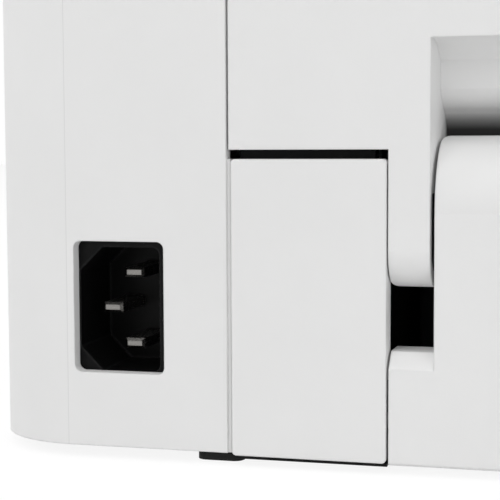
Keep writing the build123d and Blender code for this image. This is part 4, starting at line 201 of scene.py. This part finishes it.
def over(tree, share, under, colour):
    """Colour laid over another by a share."""
    mix = tree.nodes.new("ShaderNodeMix")
    mix.data_type = "RGBA"
    feed(tree, mix, Factor=share)
    tree.links.new(under, mix.inputs[MIX_UNDER])
    mix.inputs[MIX_OVER].default_value = (*colour, 1)
    return mix.outputs[MIX_RESULT]


def moulded(name, colour, roughness, grain=0.35 * MM, depth=0.012 * MM, mottle=0.03, specular=0.5,
            edge_colour=None, reach=0.5 * MM):
    """Moulded plastic: spark-eroded grain, faint flow mottling, polished edges and a finish that varies."""
    material, tree, shader = new_material(name)
    broad = surface_noise(tree, FLOW_SIZE, detail=3.0)
    fine = surface_noise(tree, grain, detail=3.0)
    edge, rounded = near_edges(tree, reach)
    body = two_tones(tree, broad, shade(colour, 1 - mottle), shade(colour, 1 + mottle))
    finish = ranged(tree, broad, roughness - FINISH_SPREAD, roughness + FINISH_SPREAD)
    feed(tree, shader, Base_Color=over(tree, edge, body, edge_colour or shade(colour, EDGE_LIGHTER)),
         Roughness=worked_out(tree, "MULTIPLY_ADD", edge, -EDGE_POLISH, finish), Specular_IOR_Level=specular)
    bumped(tree, shader, fine, depth, normal=rounded)
    return material


def brushed(name, colour, roughness, stretch, size=0.5 * MM, depth=0.004 * MM, dark_edge_reflection=None):
    """Drawn or ground metal, with fine lines along one way and, where named, painted dark reflection along
    its edges.
    """
    material, tree, shader = new_material(name)
    lines = surface_noise(tree, size, detail=4.0, stretch=stretch)
    body = two_tones(tree, lines, shade(colour, 0.86), shade(colour, 1.06))
    # Painted dark reflection laid along the edges, in patches
    if dark_edge_reflection:
        body = over(tree, near_edges(tree, DARK_EDGE_REACH)[0], body, dark_edge_reflection)
    finish = ranged(tree, lines, roughness - 0.06, roughness + 0.08)
    feed(tree, shader, Base_Color=body, Roughness=finish, Metallic=1.0)
    bumped(tree, shader, lines, depth)
    return material


def galvanised(name, colour):
    """Zinc coated sheet steel with its spangle."""
    material, tree, shader = new_material(name)
    tint = add(tree, "ShaderNodeSeparateColor", Color=cell_pattern(tree, SPANGLES_PER_METRE)["Color"]).outputs
    body = two_tones(tree, tint["Red"], shade(colour, 0.82), shade(colour, 1.08), low=0.1, high=0.9)
    finish = ranged(tree, tint["Green"], 0.28, 0.46, from_low=0.0, from_high=1.0)
    feed(tree, shader, Base_Color=body, Roughness=finish, Metallic=1.0)
    bumped(tree, shader, surface_noise(tree, SPANGLE_WAVES), 0.003 * MM)
    return material


def rubber(name, colour, grain=0.25 * MM, depth=0.02 * MM, roughness=0.75):
    material, tree, shader = new_material(name)
    fine = surface_noise(tree, grain, detail=4.0)
    body = two_tones(tree, surface_noise(tree, BLOTCH_SIZE), shade(colour, 0.85), shade(colour, 1.2))
    finish = ranged(tree, fine, roughness - 0.08, roughness + 0.08)
    feed(tree, shader, Base_Color=body, Roughness=finish, Specular_IOR_Level=0.35)
    bumped(tree, shader, fine, depth)
    return material


def foam(name, colour):
    """Open-cell foam on the transfer roller."""
    material, tree, shader = new_material(name)
    cells = cell_pattern(tree, FOAM_CELLS_PER_METRE)["Distance"]
    body = two_tones(tree, cells, shade(colour, 0.4), shade(colour, 1.3), low=0.1, high=0.6)
    feed(tree, shader, Base_Color=body, Roughness=0.9)
    bumped(tree, shader, cells, 0.08 * MM)
    return material


def board(name, mask, copper):
    """Circuit board: solder mask, with traces that show through it."""
    material, tree, shader = new_material(name)
    upright = add(tree, "ShaderNodeMapping", Vector=object_place(tree), Rotation=(0, math.radians(90), 0))
    bricks = add(tree, "ShaderNodeTexBrick", Vector=upright.outputs["Vector"], Scale=TRACES_PER_METRE,
                 Color1=(0, 0, 0, 1), Color2=(0.2, 0.2, 0.2, 1), Mortar=(1, 1, 1, 1), Mortar_Size=TRACE_WIDTH)
    bricks.offset = TRACE_SHIFT
    traces = bricks.outputs["Color"]
    feed(tree, shader, Base_Color=two_tones(tree, traces, mask, copper, low=0.1, high=0.9), Roughness=0.28)
    bumped(tree, shader, traces, 0.02 * MM)
    return material


def glossy(name, colour, coat=0.6, roughness=0.12):
    """Polished plastic with faint wipe marks."""
    material, tree, shader = new_material(name)
    wipes = surface_noise(tree, WIPE_SIZE, detail=5.0, stretch=(1, 4, 1))
    body = two_tones(tree, wipes, shade(colour, 0.9), shade(colour, 1.15))
    finish = ranged(tree, wipes, roughness, roughness + 0.12)
    feed(tree, shader, Base_Color=body, Roughness=finish, Coat_Weight=coat, Coat_Roughness=0.06)
    bumped(tree, shader, surface_noise(tree, GLOSS_WAVES), 0.02 * MM)
    return material


def clear(name, colour, roughness):
    material, tree, shader = new_material(name)
    streaks = surface_noise(tree, STREAK_SIZE)
    body = two_tones(tree, streaks, shade(colour, 0.93), colour)
    finish = ranged(tree, streaks, roughness, roughness + 0.06)
    feed(tree, shader, Base_Color=body, Roughness=finish, Transmission_Weight=0.75)
    return material


WHITE = (0.86, 0.86, 0.857)
SATIN_BLACK = (0.005, 0.005, 0.0052)
INLET_BLACK = (0.0036, 0.0036, 0.0038)
ALONG_X = (0.03, 1, 1)
materials = {
    "white_casing": moulded("white_moulding", WHITE, roughness=0.52, mottle=0.008),
    "top_casing": moulded("white_top_moulding", WHITE, roughness=0.55, grain=0.5 * MM, depth=0.02 * MM,
                          mottle=0.008),
    "button": moulded("button_moulding", (0.56, 0.56, 0.555), roughness=0.45, mottle=0.01),
    "black_moulding": moulded("black_moulding", SATIN_BLACK, roughness=0.42, mottle=0.15, specular=0.12,
                              edge_colour=(0.012, 0.012, 0.0125)),
    # The inlet's lighter edge colour is a painted highlight along the rims of its cavity
    "inlet_body": moulded("inlet_moulding", INLET_BLACK, roughness=0.34, grain=0.2 * MM, depth=0.006 * MM,
                          mottle=0.15, specular=0.1, edge_colour=(0.035, 0.035, 0.036), reach=0.8 * MM),
    "grey_moulding": moulded("grey_moulding", (0.13, 0.135, 0.14), roughness=0.5, mottle=0.06),
    "dark_moulding": moulded("dark_moulding", (0.035, 0.036, 0.038), roughness=0.5, mottle=0.1),
    "guide_moulding": moulded("guide_moulding", (0.06, 0.16, 0.26), roughness=0.45, mottle=0.05),
    "gear_moulding": moulded("acetal", (0.68, 0.68, 0.64), roughness=0.35, grain=0.8 * MM, depth=0.005 * MM,
                             mottle=0.02),
    "foot_rubber": rubber("foot_rubber", (0.012, 0.012, 0.012)),
    "roller_rubber": rubber("roller_rubber", (0.028, 0.028, 0.029), depth=0.03 * MM),
    "silicone": rubber("silicone_rubber", (0.34, 0.10, 0.07), depth=0.008 * MM, roughness=0.5),
    "friction_cork": rubber("cork_rubber", (0.20, 0.11, 0.055), grain=0.9 * MM, depth=0.08 * MM,
                            roughness=0.85),
    "transfer_foam": foam("transfer_foam", (0.05, 0.05, 0.055)),
    "sheet_steel": galvanised("galvanised_sheet", (0.56, 0.57, 0.58)),
    # The pins' darker edges are painted dark reflection, which leaves a small highlight on each tip
    "plated_brass": brushed("nickel_plate", (0.27, 0.262, 0.25), roughness=0.26, stretch=(1, 0.05, 1),
                            size=0.15 * MM, dark_edge_reflection=(0.03, 0.029, 0.027)),
    "pinion_brass": brushed("brass", (0.68, 0.47, 0.19), roughness=0.28, stretch=ALONG_X),
    "shaft_steel": brushed("ground_steel", (0.6, 0.6, 0.61), roughness=0.2, stretch=(1, 0.2, 0.2)),
    "motor_case": brushed("drawn_steel", (0.42, 0.43, 0.44), roughness=0.33, stretch=ALONG_X),
    "socket_metal": brushed("stamped_steel", (0.62, 0.63, 0.64), roughness=0.3, stretch=ALONG_X),
    "polygon_aluminium": brushed("polished_aluminium", (0.86, 0.86, 0.87), roughness=0.08,
                                 stretch=(1, 1, 0.05)),
    "drum_coating": glossy("drum_coating", (0.03, 0.22, 0.25), coat=0.8),
    "fuser_sleeve": glossy("fuser_sleeve", (0.13, 0.05, 0.03), coat=0.2, roughness=0.3),
    "gloss_panel": glossy("gloss_panel", (0.012, 0.012, 0.013), coat=1.0),
    "board": board("circuit_board", mask=(0.010, 0.075, 0.028), copper=(0.03, 0.16, 0.06)),
    "light_pipe": clear("light_pipe", (0.75, 0.86, 0.78), roughness=0.25),
    "optical_glass": clear("optical_glass", (0.85, 0.93, 0.97), roughness=0.03),
}
for row in frame["record"]["subparts"]:
    piece = nodes[row["node"]]
    piece.data.materials.clear()
    piece.data.materials.append(materials[row["material_slot"]])


# Parts of two white pieces that look different from the rest of them

REAR_Y = 186.0
# Painted shade in the pocket behind the rear door's lip, laid into the cover's colour
POCKET_LIGHT_DEPTH = 16.6
POCKET_DARK_DEPTH = 19.9
POCKET_TOP = 72.0
POCKET_FADE = 1.0
POCKET_PAINTED_SHADE = (0.055, 0.055, 0.055)
CORNER_LINE_X = 170.3
CORNER_LINE_WIDTH = 0.2
CORNER_LINE_SHARE = 0.5
CORNER_LINE_END_DEPTH = 1.0
CORNER_LINE_FULL_DEPTH = 0.5
CORNER_LINE_GREY = shade(WHITE, 0.8)


def own_white(node):
    """A copy of the white material for one node, with its colour and the three coordinates of a point."""
    material = materials["white_casing"].copy()
    material.name = node + "_white_moulding"
    nodes[node].data.materials[0] = material
    tree = material.node_tree
    axes = add(tree, "ShaderNodeSeparateXYZ", Vector=object_place(tree))
    return tree, principled(tree).inputs["Base Color"], axes.outputs


def lay_over(tree, target, first, second, colour):
    """Lay a colour over what feeds an input, by the product of two shares."""
    share = worked_out(tree, "MULTIPLY", first, second)
    tree.links.new(over(tree, share, target.links[0].from_socket, colour), target)


def paint_pocket_shade():
    """Painted shade: the wall behind the door's lip fades to dark in its colour, deeper in and lower down the
    pocket.
    """
    tree, colour, axes = own_white("rear_upper_cover")
    dark_y = (REAR_Y - POCKET_DARK_DEPTH) * MM
    light_y = (REAR_Y - POCKET_LIGHT_DEPTH) * MM
    inward = ranged(tree, axes["Y"], 1.0, 0.0, dark_y, light_y)
    low = ranged(tree, axes["Z"], 1.0, 0.0, POCKET_TOP * MM, (POCKET_TOP + POCKET_FADE) * MM)
    # Lays the painted shade over the white where the wall is deep and low
    lay_over(tree, colour, inward, low, POCKET_PAINTED_SHADE)


def draw_corner_line():
    """Faint grey line drawn down the rear face where the rounded corner begins."""
    tree, colour, axes = own_white("right_side_cover")
    end_y = (REAR_Y - CORNER_LINE_END_DEPTH) * MM
    full_y = (REAR_Y - CORNER_LINE_FULL_DEPTH) * MM
    line = worked_out(tree, "COMPARE", axes["X"], CORNER_LINE_X * MM, CORNER_LINE_WIDTH / 2 * MM)
    rear = ranged(tree, axes["Y"], 0.0, CORNER_LINE_SHARE, end_y, full_y)
    lay_over(tree, colour, line, rear, CORNER_LINE_GREY)


paint_pocket_shade()
draw_corner_line()


# Small radii on the edges of the pieces, in millimetres

WELD_REACH = 0.001 * MM
RADIUS_SEGMENTS = 2
SHARP_ANGLE = math.radians(35)
outer_radii = {
    "rear_upper_cover": 0.5, "service_panel": 0.35, "rear_door": 0.5, "top_cover": 0.4, "front_cover": 0.4,
    "cassette_front": 0.5, "output_stopper": 0.3, "control_panel": 0.25, "power_inlet": 0.12,
    "base_frame": 0.3, "rubber_feet": 0.3, "usb_port": 0.15, "network_port": 0.15, "cassette_tray": 0.5,
    "toner_cartridge": 1.0, "rear_door_guide": 0.3, "width_guide": 0.3,
}


def soften(node, radius):
    piece = nodes[node]
    weld = piece.modifiers.new("one_skin", "WELD")
    weld.merge_threshold = WELD_REACH
    round_edge = piece.modifiers.new("edge_radius", "BEVEL")
    round_edge.width = radius
    round_edge.segments = RADIUS_SEGMENTS
    round_edge.limit_method = "ANGLE"
    round_edge.angle_limit = SHARP_ANGLE
    round_edge.use_clamp_overlap = True
    round_edge.harden_normals = False


for name, radius in outer_radii.items():
    for node in nodes:
        if node == name or node.endswith("_" + name):
            soften(node, radius * MM)


# Printed marks on the three buttons, in millimetres from the middle of each

BUTTON_DISH = 0.4
INK_WALL = 0.05
MARK_LINE = 0.55
ARC_STEPS = 24
WAVE_DROP = -2.0


def arc(radius, first, last, drop=0.0):
    """Outline of a curved stroke between two angles in degrees from the right."""
    angles = [math.radians(first + (last - first) * step / ARC_STEPS) for step in range(ARC_STEPS + 1)]
    rims = ((radius + MARK_LINE / 2, angles), (radius - MARK_LINE / 2, angles[::-1]))
    return [(rim * math.cos(a), rim * math.sin(a) + drop) for rim, turn in rims for a in turn]


def bar(start, end):
    """Outline of a straight stroke between two points."""
    start, end = Vector(start), Vector(end)
    run = end - start
    side = Vector((-run.y, run.x)).normalized() * MARK_LINE / 2
    return [tuple(corner) for corner in (start + side, start - side, end - side, end + side)]


marks = {
    "power_button": [arc(2.3, 120, 420), bar((0, 0.6), (0, 3.2))],
    "wireless_button": [*(arc(radius, 45, 135, WAVE_DROP) for radius in (1.6, 3.1, 4.6)),
                        arc(0.3, 0, 359, WAVE_DROP)],
    "resume_button": [bar((-1.7, -2.4), (-1.7, 2.4)), bar((1.7, -2.4), (1.7, 1.2)),
                      bar((-1.97, -2.4), (1.97, -2.4)), bar((-1.97, 2.4), (0.6, 2.4)),
                      bar((0.4, 2.5), (1.8, 1.1))],
}
ink = rubber("printed_ink", (0.10, 0.10, 0.105), grain=0.3 * MM, depth=0.004 * MM, roughness=0.6)


def print_mark(node, strokes):
    low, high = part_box(node)
    middle_x = (low[0] + high[0]) / 2
    middle_y = (low[1] + high[1]) / 2
    level = high[2] - BUTTON_DISH * MM
    shape = bmesh.new()
    for stroke in strokes:
        corners = [shape.verts.new((middle_x + x * MM, middle_y + y * MM, level)) for x, y in stroke]
        shape.faces.new(corners)
    grown = bmesh.ops.extrude_face_region(shape, geom=shape.faces[:])
    lifted = [item for item in grown["geom"] if isinstance(item, bmesh.types.BMVert)]
    bmesh.ops.translate(shape, verts=lifted, vec=(0, 0, INK_WALL * MM))
    bmesh.ops.recalc_face_normals(shape, faces=shape.faces[:])
    mesh = bpy.data.meshes.new(node + "_mark")
    shape.to_mesh(mesh)
    shape.free()
    mesh.materials.append(ink)
    mark = bpy.data.objects.new(node + "_mark", mesh)
    bpy.context.scene.collection.objects.link(mark)
    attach(mark, node)


for node, strokes in marks.items():
    print_mark(node, strokes)


# Floor, world and lamps, in metres and watts

FLOOR_HALF = 3.0
FLOOR_MOTTLE = 0.2
FLOOR_DARK = (0.86, 0.86, 0.86)
FLOOR_LIGHT = (0.88, 0.88, 0.88)
FLOOR_GLOW = 1.05
FLOOR_GLOW_SHARE = 0.85
WORLD_STRENGTH = 0.40
WORLD_WHITE = (1, 1, 1, 1)
LAMP_AIM = Vector((0, 0, 0.1))
soft_boxes = (
    ("softbox_rear", (0.5, 1.6, 1.2), 1.4, 5.4),
    ("softbox_left", (-1.4, 1.3, 0.6), 1.0, 5.2),
    ("softbox_top", (0.1, 1.0, 1.9), 1.2, 10.5),
    ("softbox_front", (-0.6, -1.6, 1.3), 1.4, 9),
    ("softbox_side", (1.7, 0.2, 0.9), 1.2, 6),
)


def background_share(tree):
    """One for what the camera, a reflection or a clear piece sees straight, and zero for light."""
    path = tree.nodes.new("ShaderNodeLightPath").outputs
    straight = worked_out(tree, "MAXIMUM", path["Is Camera Ray"], path["Is Glossy Ray"])
    return worked_out(tree, "MAXIMUM", straight, path["Is Transmission Ray"])


def mix_surfaces(tree, share, first, second, out):
    """Mixture of two shaders as the surface of an output."""
    mix = add(tree, "ShaderNodeMixShader", Fac=share)
    tree.links.new(first.outputs[0], mix.inputs[1])
    tree.links.new(second.outputs[0], mix.inputs[2])
    feed(tree, out, Surface=mix.outputs[0])


def make_floor():
    mesh = bpy.data.meshes.new("floor")
    h = FLOOR_HALF
    mesh.from_pydata([(-h, -h, 0), (h, -h, 0), (h, h, 0), (-h, h, 0)], [], [(0, 1, 2, 3)])
    floor = bpy.data.objects.new("floor", mesh)
    bpy.context.scene.collection.objects.link(floor)
    material, tree, shader = new_material("floor_paper")
    mesh.materials.append(material)
    paper = two_tones(tree, surface_noise(tree, FLOOR_MOTTLE), FLOOR_DARK, FLOOR_LIGHT)
    feed(tree, shader, Base_Color=paper, Roughness=0.9, Specular_IOR_Level=0.0)
    glow = add(tree, "ShaderNodeEmission", Strength=FLOOR_GLOW)
    share = worked_out(tree, "MULTIPLY", background_share(tree), FLOOR_GLOW_SHARE)
    out = next(n for n in tree.nodes if n.type == "OUTPUT_MATERIAL")
    mix_surfaces(tree, share, shader, glow, out)


def make_world():
    world = bpy.data.worlds.new("studio")
    bpy.context.scene.world = world
    world.use_nodes = True
    tree = world.node_tree
    tree.nodes.clear()
    light = add(tree, "ShaderNodeBackground", Strength=WORLD_STRENGTH, Color=WORLD_WHITE)
    seen = add(tree, "ShaderNodeBackground", Strength=1.0, Color=WORLD_WHITE)
    mix_surfaces(tree, background_share(tree), light, seen, tree.nodes.new("ShaderNodeOutputWorld"))


def soft_box(name, place, size, watts):
    data = bpy.data.lights.new(name, "AREA")
    data.shape = "SQUARE"
    data.size = size
    data.energy = watts
    lamp = bpy.data.objects.new(name, data)
    bpy.context.scene.collection.objects.link(lamp)
    lamp.location = place
    lamp.rotation_euler = (LAMP_AIM - Vector(place)).to_track_quat("-Z", "Y").to_euler()


make_floor()
make_world()
for name, place, size, watts in soft_boxes:
    soft_box(name, place, size, watts)
